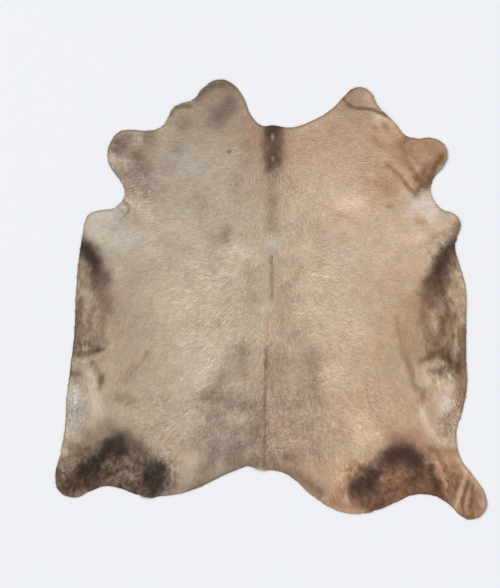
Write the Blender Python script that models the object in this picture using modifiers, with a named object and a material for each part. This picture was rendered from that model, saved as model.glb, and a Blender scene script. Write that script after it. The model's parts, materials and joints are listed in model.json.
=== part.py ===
# A hair-on cowhide, laid flat on the floor with its hair side up.
# One solid: the whole skin, cut along its natural outline, with the ridges it keeps as it lies.
# Metres, +Z up, +Y along the spine towards the neck, origin on the floor under the middle.

import math

import bpy
from mathutils import Matrix, Vector, geometry

CM = 0.01
MM = 0.001

# Driving sizes
HIDE_THICKNESS = 4 * MM  # leather of about 2 mm under hair that lies about 2 mm deep
POINTS_PER_STRETCH = 6  # steps of the edge between two of its landmarks
OPEN_STEP = 11 * CM  # point spacing where the hide lies flat
OPEN_GAP = 4 * CM  # and the least from one of these points to any other
RIDGE_STEP = 1.5 * CM  # point spacing along a ridge
RIDGE_GAP = 0.6 * CM  # and the least from one of these points to any other
SMOOTH_ANGLE = math.radians(35)

# The cut edge, clockwise as seen from the hair side: landmarks (x, y) in centimetres.
OUTLINE_CM = (
    ("neck", ((1, 87.2), (9, 86.1), (20, 89.4), (30, 95.4))),
    ("right cheek", ((35.5, 100.8), (40, 105), (45.3, 105.9), (50.2, 102.6), (53, 97))),
    ("right shoulder", ((57.6, 92), (62.1, 87.6), (66.3, 82.6), (72, 80.6))),
    ("right foreleg", ((79.4, 81), (85.8, 77.8), (88, 72), (86, 66.2), (81.2, 60.2))),
    ("right armpit", ((79.6, 55), (80.9, 50), (85.4, 45.2))),
    ("right elbow", ((91, 43.1), (94.4, 38), (93.4, 33), (91.8, 26.5))),
    ("right flank", ((93.8, 18), (96.9, 7.5), (97.5, -10), (97.4, -30), (97.8, -43), (95.4, -56))),
    ("right hock", ((92.5, -67.5), (94.6, -79))),
    ("right hind leg", ((101.3, -88), (107, -97.5), (106.8, -105), (100, -109.9), (95.2, -108.7))),
    ("right hind notch", ((86.6, -101.1), (79, -97.8), (70, -98.1))),
    ("right rump", ((63, -101.1), (53.5, -105), (43, -107.1), (32, -105.2), (20, -97.8), (7.5, -87.4))),
    ("tail", ((-0.5, -85.2), (-10, -83.2), (-19.5, -86.1), (-27.5, -89.9))),
    ("left rump", ((-38, -94.8), (-55, -98.4), (-66, -97.9), (-75, -94.7))),
    ("left hind notch", ((-83, -93.6), (-90.5, -96.2))),
    ("left hind leg", ((-98, -99), (-105.8, -95.6), (-107.9, -88), (-105.3, -76.5))),
    ("left hock", ((-103.2, -64), (-102.4, -50))),
    ("left flank", ((-100.4, -33), (-98.4, -15), (-97.9, 0), (-96.6, 17))),
    ("left elbow", ((-94.2, 32), (-91.2, 42.4), (-85.5, 44.8))),
    ("left armpit", ((-78.5, 45.9), (-74.6, 49), (-73.3, 54), (-76, 59.6))),
    ("left foreleg", ((-80.6, 66), (-81.9, 72), (-79.8, 79.4), (-75.8, 84), (-70, 85))),
    ("left shoulder", ((-61, 84.5), (-54.6, 86.5), (-51.5, 91))),
    ("left cheek", ((-49.3, 95.4), (-45.5, 97.6), (-39, 99.8), (-33.5, 106.2), (-25.5, 109.9))),
    ("left of neck", ((-18.5, 107.3), (-13.3, 100.5), (-9.4, 91.6), (-4.5, 87.1))),
)

# Ridges that the hide keeps as it lies: the crest of each in centimetres, how far the ridge
# reaches to each side of its crest in centimetres, and how high it stands in millimetres.
RIDGES = (
    # place, crest, reach, height
    ("left cheek, crease", ((-51, 92.4), (-47, 94.8), (-43, 95.8), (-39, 97.3), (-30, 105)), 2.2, 5),
    ("left armpit, pinch", ((-77, 48.5), (-69, 42)), 2.4, 5),
    ("right cheek, crease", ((36, 101), (38.5, 97.6), (45, 95.2), (53, 92.7), (60, 89.6)), 2.2, 6),
    ("right shoulder, upper pucker", ((52, 88.5), (61, 83.5)), 2.8, 5),
    ("right shoulder, lower pucker", ((49, 80.5), (59, 74.5)), 2.8, 4),
    ("right foreleg, inner fold", ((54, 72.5), (62, 68.5), (68, 63.5), (74, 54.5)), 3.2, 8),
    ("right foreleg, outer fold", ((68, 73.5), (72.5, 66), (77.5, 58.5)), 2.8, 6),
    ("right armpit, pinch", ((64, 42), (79, 41)), 2.6, 5),
    ("right elbow, fold", ((71, 29.5), (82, 33), (92, 37.8)), 3.0, 6),
    ("right flank, edge fold", ((92.4, -2), (91.8, -18), (92, -36)), 2.8, 7),
    ("right flank, inner fold", ((63, -10), (66.5, -28), (73, -48)), 3.0, 5),
    ("right belly, rim", ((74.5, -53), (78, -63), (84, -70), (92, -74)), 3.0, 7),
    ("right hind leg, long fold", ((79, -73), (83.5, -84), (88, -99)), 2.8, 7),
    ("right hind leg, middle fold", ((98.5, -85), (95.5, -92), (92.5, -101)), 2.4, 6),
    ("right hind leg, foot fold", ((102, -92.5), (99, -99), (98, -107.5)), 2.2, 6),
    ("left flank, streak", ((-92.4, 9), (-91.5, -3), (-91, -17)), 2.6, 5),
    ("left flank, upper side of the pinch", ((-98.6, -20.5), (-92, -20.4), (-83, -23.5)), 2.2, 7),
    ("left flank, lower side of the pinch", ((-99.6, -31), (-92, -30.2), (-83, -26.5)), 2.4, 8),
    ("left belly, rim", ((-95, -33), (-89.5, -40), (-86.5, -48), (-85.5, -58)), 2.8, 6),
    ("left hind leg, foot fold", ((-104.2, -77), (-104, -85), (-101.5, -95)), 2.2, 5),
)
RIDGE_FADE = 0.3  # share of its length over which a ridge rises from the flat at either end
RIDGE_LINES = (-1.0, -0.64, -0.34, 0.0, 0.34, 0.64, 1.0)  # where a ridge is shaped, in reaches

HAIR_COLOUR = (0.432, 0.342, 0.255, 1.0)  # sandy taupe, linear
HAIR_ROUGHNESS = 0.75


def clear_scene():
    for obj in list(bpy.data.objects):
        bpy.data.objects.remove(obj, do_unlink=True)


def new_collection(name):
    collection = bpy.data.collections.new(name)
    bpy.context.scene.collection.children.link(collection)
    return collection


def edge_points():
    """The cut edge as points in order, read from a closed Bezier curve through the landmarks."""
    landmarks = [Vector((x * CM, y * CM, 0)) for _, stretch in OUTLINE_CM for x, y in stretch]
    curve = bpy.data.curves.new("edge_curve", "CURVE")
    curve.dimensions = "2D"
    curve.fill_mode = "NONE"
    curve.resolution_u = POINTS_PER_STRETCH
    spline = curve.splines.new("BEZIER")
    spline.bezier_points.add(len(landmarks) - 1)
    spline.use_cyclic_u = True
    for point, place in zip(spline.bezier_points, landmarks):
        point.co = place
        point.handle_left_type = "AUTO"
        point.handle_right_type = "AUTO"
    guide = bpy.data.objects.new("edge_guide", curve)
    bpy.context.scene.collection.objects.link(guide)
    bpy.context.view_layer.update()
    graph = bpy.context.evaluated_depsgraph_get()
    line = bpy.data.meshes.new_from_object(guide.evaluated_get(graph))
    points = [Vector((v.co.x, v.co.y)) for v in line.vertices]
    bpy.data.objects.remove(guide, do_unlink=True)
    bpy.data.curves.remove(curve)
    bpy.data.meshes.remove(line)
    return points


def walk(crest):
    """Evenly spaced points along a crest, each with the sideways direction there."""
    corners = [Vector((x * CM, y * CM)) for x, y in crest]
    steps = []
    for start, end in zip(corners, corners[1:]):
        count = math.ceil((end - start).length / RIDGE_STEP)
        sideways = (end - start).normalized().orthogonal()
        steps += [(start.lerp(end, i / count), sideways) for i in range(count)]
    return steps + [(corners[-1], sideways)]


def ridge_share(place, crest):
    """How far a place is from a crest, and how far along the crest its nearest point is."""
    corners = [Vector((x * CM, y * CM)) for x, y in crest]
    whole = sum((b - a).length for a, b in zip(corners, corners[1:]))
    best = (math.inf, 0.0)
    gone = 0.0
    for start, end in zip(corners, corners[1:]):
        along = end - start
        share = max(0.0, min(1.0, (place - start).dot(along) / along.length_squared))
        away = (place - start - share * along).length
        best = min(best, (away, (gone + share * along.length) / whole))
        gone += along.length
    return best


def lift_at(place):
    """How high the underside of the hide stands off the floor at a place, in metres."""
    lift = 0.0
    for _, crest, reach, height in RIDGES:
        away, share = ridge_share(place, crest)
        away /= reach * CM
        if away < 1:
            rise = min(1.0, min(share, 1 - share) / RIDGE_FADE)
            lift = max(lift, height * MM * rise * (2 - rise) * (1 - away**2) ** 2)
    return lift


def is_inside(place, edge):
    """Whether a place is inside the cut edge, by counting the crossings to its right."""
    crossings = 0
    for a, b in zip(edge, edge[1:] + edge[:1]):
        if (a.y > place.y) != (b.y > place.y):
            crossings += place.x < a.x + (place.y - a.y) * (b.x - a.x) / (b.y - a.y)
    return crossings % 2 == 1


def open_places(edge):
    """Places in wide staggered rows over the whole hide."""
    row_step = OPEN_STEP * math.sqrt(3) / 2
    rows = math.ceil(max(abs(p.y) for p in edge) / row_step)
    columns = math.ceil(max(abs(p.x) for p in edge) / OPEN_STEP)
    return [
        Vector(((column + 0.5 * (row % 2)) * OPEN_STEP, row * row_step))
        for row in range(-rows, rows + 1)
        for column in range(-columns, columns + 1)
    ]


def ridge_places():
    """Places in lines beside and on each crest, the crest line first."""
    return [
        place + sideways * line * reach * CM
        for line in sorted(RIDGE_LINES, key=abs)
        for _, crest, reach, _ in RIDGES
        for place, sideways in walk(crest)
    ]


def inner_points(edge):
    """Close points on the ridges, and wide ones where the hide lies flat."""
    kept = list(edge)
    for places, gap in ((ridge_places(), RIDGE_GAP), (open_places(edge), OPEN_GAP)):
        for place in places:
            if min((place - other).length for other in kept) > gap and is_inside(place, edge):
                kept.append(place)
    return kept[len(edge) :]


def hide_surface():
    """The flesh side as one open sheet, flat on the floor but for its ridges."""
    edge = edge_points()
    points = edge + inner_points(edge)
    ring = list(range(len(edge)))
    inside_only = 1
    made = geometry.delaunay_2d_cdt(points, [], [ring], inside_only, 0.01 * MM)
    places, triangles = made[0], made[2]
    mesh = bpy.data.meshes.new("hide")
    mesh.from_pydata([(p.x, p.y, lift_at(p)) for p in places], [], triangles)
    mesh.validate()
    middle_x = (max(p.x for p in edge) + min(p.x for p in edge)) / 2
    middle_y = (max(p.y for p in edge) + min(p.y for p in edge)) / 2
    mesh.transform(Matrix.Translation((-middle_x, -middle_y, 0)))
    return mesh


def hair_material():
    material = bpy.data.materials.new("hair_on_hide")
    material.use_nodes = True
    shader = material.node_tree.nodes["Principled BSDF"]
    shader.inputs["Base Color"].default_value = HAIR_COLOUR
    shader.inputs["Roughness"].default_value = HAIR_ROUGHNESS
    shader.inputs["Metallic"].default_value = 0.0
    return material


def build_hide(collection):
    """The whole skin: the flesh side thickened upwards to the top of the lying hair."""
    mesh = hide_surface()
    mesh.materials.append(hair_material())
    hide = bpy.data.objects.new("hide", mesh)
    collection.objects.link(hide)
    wall = hide.modifiers.new("thickness", "SOLIDIFY")
    wall.thickness = HIDE_THICKNESS
    wall.offset = 1.0
    wall.use_rim = True
    mesh.shade_smooth()
    mesh.set_sharp_from_angle(angle=SMOOTH_ANGLE)
    return hide


def main():
    clear_scene()
    build_hide(new_collection("cowhide"))


main()
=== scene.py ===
import math

import bmesh
import bpy
import numpy as np
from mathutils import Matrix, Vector
from mathutils.bvhtree import BVHTree
from mathutils.geometry import delaunay_2d_cdt
from mathutils.kdtree import KDTree
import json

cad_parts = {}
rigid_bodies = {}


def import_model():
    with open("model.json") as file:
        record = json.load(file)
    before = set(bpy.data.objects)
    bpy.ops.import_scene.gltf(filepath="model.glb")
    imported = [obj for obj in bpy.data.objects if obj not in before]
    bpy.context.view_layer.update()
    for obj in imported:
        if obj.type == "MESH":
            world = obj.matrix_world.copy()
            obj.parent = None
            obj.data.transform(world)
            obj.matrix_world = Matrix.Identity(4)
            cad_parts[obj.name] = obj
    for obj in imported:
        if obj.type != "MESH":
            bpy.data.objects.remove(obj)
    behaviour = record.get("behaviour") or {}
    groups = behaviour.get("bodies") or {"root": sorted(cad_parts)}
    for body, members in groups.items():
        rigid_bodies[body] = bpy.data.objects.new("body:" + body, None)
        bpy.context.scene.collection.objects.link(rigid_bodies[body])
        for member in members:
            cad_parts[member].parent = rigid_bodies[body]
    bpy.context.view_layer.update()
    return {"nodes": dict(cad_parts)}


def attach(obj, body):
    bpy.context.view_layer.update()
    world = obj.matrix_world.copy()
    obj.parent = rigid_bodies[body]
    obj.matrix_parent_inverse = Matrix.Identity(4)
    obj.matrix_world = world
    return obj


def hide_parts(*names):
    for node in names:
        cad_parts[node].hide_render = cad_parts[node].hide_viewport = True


cm = 0.01
mm = 0.001

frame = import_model()
cadHide = frame["nodes"]["hide"]

# A fixed seed for each kind of noise.
seeds = {
    "edge": 5,
    "broadSwing": 11,
    "tuft": 15,
    "fineSwing": 17,
    "marking": (21, 31),
    "streak": 41,
    "waveDrift": (51, 52),
    "fineWave": 53,
    "broadWave": 55,
    "wavePatch": 57,
    "cloud": 61,
    "mottle": 71,
    "warmth": 81,
    "blotchDrift": (91, 92),
    "blotch": 93,
}


# Colours, smooth noise and distances


def linearColour(hexColour):
    parts = np.array([int(hexColour[i : i + 2], 16) for i in (1, 3, 5)]) / 255
    return np.where(parts <= 0.04045, parts / 12.92, ((parts + 0.055) / 1.055) ** 2.4)


def rgba(hexColour):
    return (*linearColour(hexColour), 1.0)


def smoothStep(values):
    values = np.clip(values, 0, 1)
    return values * values * (3 - 2 * values)


def latticeNoise(places, cell, seed):
    # Smooth noise from -1 to 1, with bumps about one cell wide.
    table = np.random.default_rng(seed).uniform(-1, 1, (256, 256))
    low = np.floor(places / cell).astype(int)
    part = smoothStep(places / cell - low)
    x0, y0 = (low % 256).T
    x1, y1 = (x0 + 1) % 256, (y0 + 1) % 256
    near = table[x0, y0] * (1 - part[:, 0]) + table[x1, y0] * part[:, 0]
    far = table[x0, y1] * (1 - part[:, 0]) + table[x1, y1] * part[:, 0]
    return near * (1 - part[:, 1]) + far * part[:, 1]


def roughNoise(places, cell, seed):
    # The same with two finer layers over it, which have the next two seeds.
    layers = ((1.0, 0.6), (0.47, 0.3), (0.22, 0.15))
    return sum(
        share * latticeNoise(places, cell * size, seed + i)
        for i, (size, share) in enumerate(layers)
    )


def drifted(places, reach, cell, seedPair):
    # The places, each moved a little way, so that a pattern on them wanders.
    drift = np.stack([latticeNoise(places, cell, seed) for seed in seedPair], 1)
    return places + drift * reach


def distanceFrom(places, x, y):
    return np.hypot(*(places - np.array([x, y]) * cm).T)


def pathDistance(places, path):
    if len(path) == 1:
        return distanceFrom(places, *path[0])
    corners = np.array(path, float) * cm
    nearest = np.full(len(places), np.inf)
    for start, end in zip(corners, corners[1:]):
        along = end - start
        share = ((places - start) @ along / (along @ along)).clip(0, 1)
        away = places - start - share[:, None] * along
        nearest = np.minimum(nearest, np.hypot(*away.T))
    return nearest


def signedArea(loop):
    # Above 0 if the loop runs anticlockwise, as seen from above.
    x, y = loop.T
    return 0.5 * np.sum(x * np.roll(y, -1) - np.roll(x, -1) * y)


def addObject(name, data):
    made = bpy.data.objects.new(name, data)
    bpy.context.scene.collection.objects.link(made)
    return made


# The skin

skinValues = {
    "leatherThickness": 2.2 * mm,
    "edgeInset": 4 * mm,  # the hair reaches this far past the cut edge
    "edgeWaver": 1.2 * mm,
    "waverSize": 3 * cm,
    "edgeSpacing": 6 * mm,
    "openSpacing": 12 * mm,
    "creaseSpacing": 6.5 * mm,
    "creaseReach": 2.4,  # the fine spacing goes this many crease widths out
    "foldedFrom": 0.3 * mm,  # it is used too where the flesh side stands this high
    "eveningRounds": 4,
    "liftInwards": 0.5,  # how far in a lifted edge goes, as a share of its reach
    "sharpAngle": 50,  # degrees
    "weldWithin": 0.02 * mm,
    "closest": 0.01 * mm,  # two points of the surface
}

# Folds and creases that show in the hair: where each runs (cm), how wide it is to each side
# and how far its crest stands up, or its trough goes down (mm).
creases = (
    ("left cheek, upper fold", ((-39, 97.3), (-34, 101), (-30, 105)), 7, 1.5),
    ("left armpit, first crease", ((-73, 47.5), (-70.5, 44.5)), 5, -1.4),
    ("left armpit, second crease", ((-70.5, 46), (-71, 42.5)), 5, -1.2),
    ("left scar", ((-61, -27), (-66, -33), (-70, -38)), 6, -1.0),
    ("left pinch, upper wedge", ((-88, -23), (-83, -25)), 6, -1.4),
    ("left pinch, lower wedge", ((-87, -28), (-83, -25.5)), 6, -1.4),
    ("left flank, short crease", ((-88, -33), (-85, -36.5)), 6, -1.2),
    ("left flank, streak by the edge", ((-95, -1), (-95.5, -12)), 6, 1.5),
    ("left hock, fold", ((-97, -67), (-91, -72), (-86, -70)), 9, 1.8),
    ("right cheek, line below the crease", ((40, 94), (48, 92.5)), 6, -1.2),
    ("right shoulder, dimple", ((55, 85.5), (58, 84)), 8, -1.4),
    ("right shoulder, upper dimple", ((51, 86), (53, 85)), 8, -1.2),
    ("right shoulder, lower dimple", ((56, 79), (59.5, 77.5)), 8, -1.3),
    ("right foreleg, inner trough", ((57, 68), (63, 63.5), (70, 55)), 8, -1.4),
    ("right foreleg, outer trough", ((69, 69), (73, 62), (75.5, 58)), 8, -1.3),
    ("right elbow, small fold", ((70, 38), (77, 38.5)), 7, -1.2),
    ("right flank, long line", ((63, -8), (64, -20), (67, -33), (70, -45), (74, -51)), 9, -1.3),
    ("right hock, light fold", ((98, -84), (94, -97)), 7, 1.6),
    ("right hock, second fold", ((91, -83), (88, -92)), 7, 1.5),
    ("spine, front parting", ((0.5, 24), (0.6, 12), (0.6, -1)), 6, -1.2),
    ("spine, rear parting", ((-1.5, -14), (-2.5, -45), (-2.5, -82)), 9, -1.1),
)

# Edges that lift off the floor: the middle of each (cm), its reach (cm) and its height (mm).
liftedEdges = (
    ("right cheek tip", 44, 105, 14, 5),
    ("left cheek tip", -25, 109, 14, 4),
    ("left foreleg tip", -80, 74, 12, 4),
    ("right foreleg tip", 87, 71, 12, 5),
    ("right elbow", 94, 38, 9, 3),
    ("left belly", -103, -58, 16, 3),
    ("right flank", 97, -35, 18, 3),
    ("right hind foot", 105, -104, 12, 5),
    ("left hind foot", -106, -90, 12, 4),
    ("right rump", 42, -106, 16, 3),
)


def undersideLoop(welded):
    # The line where the flesh side meets the cut edge, in order round the hide.
    leastDown, mostTilt = 0.7, 0.6  # slopes of the flesh side and of the cut edge
    welded.normal_update()
    after = {}
    for edge in welded.edges:
        down = [f for f in edge.link_faces if f.normal.z < -leastDown]
        if len(edge.link_faces) == 2 and len(down) == 1:
            if abs(next(f for f in edge.link_faces if f != down[0]).normal.z) < mostTilt:
                for a, b in (edge.verts, reversed(edge.verts)):
                    after.setdefault(a, []).append(b)
    start = next(iter(after))
    loop = [start]
    came, here = None, start
    while True:
        following = next(v for v in after[here] if v != came)
        if following == start:
            return np.array([v.co[:2] for v in loop])
        loop.append(following)
        came, here = here, following


def evenLoop(corners, spacing):
    # A smooth closed line through the corners, with points evenly apart.
    steps = 8
    t = (np.arange(steps) / steps)[:, None]
    lines = []
    for i in range(len(corners)):
        a, b, c, d = (corners[(i + k) % len(corners)] for k in (-1, 0, 1, 2))
        cubic = (2 * b, c - a, 2 * a - 5 * b + 4 * c - d, 3 * b - a - 3 * c + d)
        lines.append(0.5 * sum(part * t**power for power, part in enumerate(cubic)))
    fine = np.concatenate([*lines, corners[:1]])
    gone = np.concatenate([[0], np.cumsum(np.hypot(*np.diff(fine, axis=0).T))])
    places = np.linspace(0, gone[-1], int(gone[-1] / spacing), endpoint=False)
    return np.stack([np.interp(places, gone, fine[:, i]) for i in (0, 1)], 1)


def outwards(loop):
    # The sideways direction that points out of the hide, at each point of its edge.
    along = np.roll(loop, -1, axis=0) - np.roll(loop, 1, axis=0)
    side = np.stack([along[:, 1], -along[:, 0]], 1)
    side /= np.hypot(*side.T)[:, None]
    return side if signedArea(loop) > 0 else -side


def insideLoop(places, loop):
    inside = np.zeros(len(places), bool)
    for (ax, ay), (bx, by) in zip(loop, np.roll(loop, -1, axis=0)):
        if ay != by:
            spans = (places[:, 1] < ay) != (places[:, 1] < by)
            crossing = ax + (places[:, 1] - ay) * (bx - ax) / (by - ay)
            inside ^= spans & (places[:, 0] < crossing)
    return inside


def staggeredGrid(spacing, reach):
    rows = np.arange(-reach, reach, spacing * math.sqrt(3) / 2)
    columns = np.arange(-reach, reach, spacing)
    x, y = np.meshgrid(columns, rows)
    x = x + (np.arange(len(rows)) % 2)[:, None] * spacing / 2
    return np.stack([x.ravel(), y.ravel()], 1)


def treeOf(places):
    tree = KDTree(len(places))
    for i, (x, y) in enumerate(places):
        tree.insert((x, y, 0), i)
    tree.balance()
    return tree


def distancesTo(tree, places):
    return np.array([tree.find((x, y, 0))[2] for x, y in places])


def creaseHeight(places):
    height = np.zeros(len(places))
    for _, path, width, rise in creases:
        near = pathDistance(places, path) / (width * mm)
        height += rise * mm * np.exp(-(near**2))
    return height


def liftedHeight(places, fromEdge):
    height = np.zeros(len(places))
    for _, x, y, reach, rise in liftedEdges:
        near = distanceFrom(places, x, y) / (reach * cm)
        inwards = 1 - fromEdge / (skinValues["liftInwards"] * reach * cm)
        height += rise * mm * smoothStep(1 - near) * np.clip(inwards, 0, 1) ** 2
    return height


def skinPlaces(loop, underside):
    # Points over the hide: close on its folds, wider where it lies flat, none at its edge.
    edgeTree = treeOf(loop)
    reach = float(np.abs(loop).max())
    kept = []
    for kind, onFolds in (("creaseSpacing", True), ("openSpacing", False)):
        places = staggeredGrid(skinValues[kind], reach)
        places = places[insideLoop(places, loop)]
        places = places[distancesTo(edgeTree, places) > 0.5 * skinValues["edgeSpacing"]]
        near = np.full(len(places), np.inf)
        for _, path, width, _ in creases:
            away = pathDistance(places, path) / (width * mm * skinValues["creaseReach"])
            near = np.minimum(near, away)
        raised = undersideHeights(places, underside) > skinValues["foldedFrom"]
        kept.append(places[((near < 1) | raised) == onFolds])
    return np.concatenate(kept)


def undersideHeights(places, underside):
    heights = np.zeros(len(places))
    below = -5 * cm
    for i, (x, y) in enumerate(places):
        hit = underside.ray_cast(Vector((x, y, below)), Vector((0, 0, 1)))[0]
        if hit is None:
            hit = underside.find_nearest(Vector((x, y, 0)))[0]
        heights[i] = hit.z
    return heights


def evened(values, edges, rounds):
    count = np.bincount(edges.ravel(), minlength=len(values))
    for _ in range(rounds):
        total = np.bincount(edges[:, 0], values[edges[:, 1]], len(values))
        total += np.bincount(edges[:, 1], values[edges[:, 0]], len(values))
        values = 0.5 * values + 0.5 * total / np.maximum(count, 1)
    return values


print("stage: outline of the hide")
welded = bmesh.new()
welded.from_mesh(cadHide.data)
welded.transform(cadHide.matrix_world)
bmesh.ops.remove_doubles(welded, verts=welded.verts, dist=skinValues["weldWithin"])
cadEdge = undersideLoop(welded)
underside = BVHTree.FromBMesh(welded)
welded.free()

hairLoop = evenLoop(cadEdge, skinValues["edgeSpacing"])
waver = roughNoise(hairLoop, skinValues["waverSize"], seeds["edge"]) * skinValues["edgeWaver"]
edgeLoop = hairLoop - outwards(hairLoop) * (skinValues["edgeInset"] + waver)[:, None]

print("stage: surface of the skin")
flatPlaces = np.concatenate([edgeLoop, skinPlaces(edgeLoop, underside)])
ring = list(range(len(edgeLoop)))
corners = [Vector(p) for p in flatPlaces]
cut = delaunay_2d_cdt(corners, [], [ring], 1, skinValues["closest"])
flatPlaces = np.array([tuple(p) for p in cut[0]])
skinEdges = np.array(cut[1])
skinFaces = np.array(cut[2])
fromEdge = distancesTo(treeOf(edgeLoop), flatPlaces)
fleshHeight = undersideHeights(flatPlaces, underside)
fleshHeight = evened(fleshHeight, skinEdges, skinValues["eveningRounds"])
relief = creaseHeight(flatPlaces)
fleshHeight += liftedHeight(flatPlaces, fromEdge) + np.maximum(relief, 0)
fleshHeight = np.maximum(fleshHeight, 0)
topHeight = fleshHeight + skinValues["leatherThickness"] + np.minimum(relief, 0)


# The lie of the hair

# The way the hair lies on the right half of the hide, mirrored on the left: places (cm) and
# the direction there, in degrees from straight out to the right, towards the neck if above 0.
lieOfHair = (
    ("spine at the neck", 3, 82, -70),
    ("spine at the withers", 3, 45, -60),
    ("spine at the loin", 3, 0, -60),
    ("spine at the rump", 3, -45, -70),
    ("root of the tail", 2, -80, -88),
    ("neck", 18, 78, -8),
    ("cheek", 40, 98, 20),
    ("shoulder", 45, 72, -4),
    ("foreleg", 76, 72, -12),
    ("armpit", 76, 46, -12),
    ("chest", 50, 40, -4),
    ("elbow", 86, 34, -35),
    ("front ribs", 28, 18, -8),
    ("ribs", 60, 8, -14),
    ("flank", 87, 10, -62),
    ("edge of the flank", 94, -20, -86),
    ("back", 18, -12, -38),
    ("side of the back", 45, -18, -20),
    ("loin", 14, -42, -58),
    ("side of the loin", 44, -48, -42),
    ("belly", 86, -50, -82),
    ("fold of the belly", 70, -36, -66),
    ("rump", 12, -72, -74),
    ("side of the rump", 34, -86, -62),
    ("thigh", 60, -72, -42),
    ("hock", 68, -88, -24),
    ("hind leg", 88, -84, -48),
    ("hind foot", 100, -100, -58),
)

# Where the hair stands in tufts: the line of each zone and its reach (cm), and how strongly.
tuftZones = (
    ("left of the spine", ((-24, 8), (-26, -30), (-24, -64)), 22, 1.0),
    ("right of the spine", ((24, 4), (26, -30), (22, -64)), 22, 0.9),
    ("spine", ((0, -24), (0, -76)), 14, 1.0),
    ("left foreleg", ((-76, 78), (-60, 56)), 12, 0.6),
    ("left hock", ((-92, -84), (-66, -84)), 12, 0.9),
    ("left belly", ((-98, -56),), 9, 0.7),
    ("right hock", ((45, -90), (76, -86)), 12, 0.6),
    ("right belly", ((87, -64),), 8, 1.0),
    ("right thigh", ((46, -55),), 22, 1.0),
    ("left thigh", ((-50, -58),), 22, 1.0),
    ("rump", ((-24, -62), (20, -66)), 20, 1.2),
)

# Where the hair grows longer or shorter than elsewhere: the middle of each place and its
# reach (cm), and how many times as long.
hairGrowth = (
    ("tail tuft", -5.5, -84, 6.5, 3.8),
    ("left hock, fringe", -60, -97.5, 6, 2.8),
    ("left hock", -78, -82, 28, 0.6),
    ("left hind leg", -102, -86, 14, 0.7),
    ("right hock", 64, -88, 28, 0.6),
    ("right hind leg", 98, -96, 18, 0.6),
    ("left foreleg", -72, 74, 20, 0.65),
    ("right foreleg", 76, 70, 20, 0.65),
    ("left cheek", -26, 100, 20, 0.8),
    ("right cheek", 44, 100, 18, 0.8),
)

# Where the coat is blotched, in the same way.
blotchZones = (
    ("left hock", ((-98, -88), (-60, -88)), 15, 0.9),
    ("right hock", ((46, -92), (80, -90)), 14, 0.65),
    ("right hind leg", ((94, -90), (100, -104)), 9, 0.4),
    ("left flank", ((-93, 20), (-95, -24)), 9, 0.4),
    ("right flank", ((88, 24), (86, -34)), 11, 0.5),
    ("right foreleg", ((70, 74), (76, 58)), 9, 0.25),
    ("left foreleg", ((-74, 78), (-68, 56)), 12, 0.3),
    ("rump", ((-30, -62), (20, -66)), 20, 0.2),
    ("left thigh", ((-56, -56),), 18, 0.15),
)

# Where single strands stand out, in the same way.
strandZones = (
    ("left belly", ((-101, -46), (-101, -62)), 9, 0.8),
    ("right belly", ((96, -52), (93, -62)), 9, 1.0),
    ("left hock", ((-98, -86), (-62, -88)), 15, 0.5),
    ("right hock", ((46, -92), (84, -92)), 15, 0.35),
    ("left flank", ((-92, 18), (-94, -22)), 10, 0.4),
    ("right flank", ((88, 20), (88, -34)), 11, 0.4),
    ("left foreleg", ((-74, 78), (-66, 56)), 12, 0.35),
    ("tail head", ((-3, -76),), 10, 0.4),
)

coatValues = {
    "lieSoftness": 20,  # square centimetres: how far the places above blend
    "lieFalloff": 1.6,
    "broadSwing": 16,  # degrees to either side
    "broadSwingSize": 9 * cm,
    "fineSwing": 14,
    "fineSwingSize": 2.6 * cm,
    "hairLength": 19 * mm,
    "shortestShare": 0.4,  # of that length, at the cut edge
    "fullFromEdge": 28 * mm,
    "growthFade": 1.4,  # above 1 keeps the full growth out from the middle of its place
    "plainTufting": 0.18,
    "tuftPatchSize": 8 * cm,
    "tuftPatches": (0.75, 0.5),  # mean strength of the patches, and its spread
    "tuftShortening": 0.5,
    "waveSize": 6.5 * mm,
    "waveStretch": np.array((2.2, 1.0)),
    "waveDrift": 9 * mm,
    "waveDriftSize": 3 * cm,
    "broadWave": 2.4,  # times as wide as the fine waves
    "waveShares": (0.7, 0.5),  # fine and broad
    "waveHeight": 2.0 * mm,
    "waveLightReach": np.array((-1.2, 1.6)) * mm,
    "wavePatchSize": 5 * cm,
    "wavePatches": (0.6, 0.9),
}


def hairDirection(places):
    found = np.zeros((len(places), 2))
    for _, x, y, degrees in lieOfHair:
        angle = math.radians(degrees)
        for side in (1, -1):
            away = distanceFrom(places, side * x, y) / cm
            pull = 1 / (away**2 + coatValues["lieSoftness"]) ** coatValues["lieFalloff"]
            found += pull[:, None] * np.array([side * math.cos(angle), math.sin(angle)])
    broad = roughNoise(places, coatValues["broadSwingSize"], seeds["broadSwing"])
    fine = latticeNoise(places, coatValues["fineSwingSize"], seeds["fineSwing"])
    swing = np.radians(coatValues["broadSwing"] * broad + coatValues["fineSwing"] * fine)
    turned = (found[:, 0] + 1j * found[:, 1]) * np.exp(1j * swing)
    turned /= np.maximum(np.abs(turned), 1e-9)
    return np.stack([turned.real, turned.imag], 1)


def zoneStrength(places, zones, elsewhere):
    strength = np.full(len(places), float(elsewhere))
    for _, path, reach, most in zones:
        near = pathDistance(places, path) / (reach * cm)
        strength = np.maximum(strength, most * np.exp(-(near**4)))
    return strength


def tufting(places):
    mean, spread = coatValues["tuftPatches"]
    patches = mean + spread * roughNoise(places, coatValues["tuftPatchSize"], seeds["tuft"])
    return zoneStrength(places, tuftZones, coatValues["plainTufting"]) * patches


def lengthOfHair(places, fromEdge):
    fullness = smoothStep(fromEdge / coatValues["fullFromEdge"])
    share = coatValues["shortestShare"] + (1 - coatValues["shortestShare"]) * fullness
    for _, x, y, reach, times in hairGrowth:
        near = distanceFrom(places, x, y) / (reach * cm)
        share *= 1 + (times - 1) * smoothStep(coatValues["growthFade"] * (1 - near))
    share *= 1 - coatValues["tuftShortening"] * tufting(places)
    return coatValues["hairLength"] * share


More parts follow.
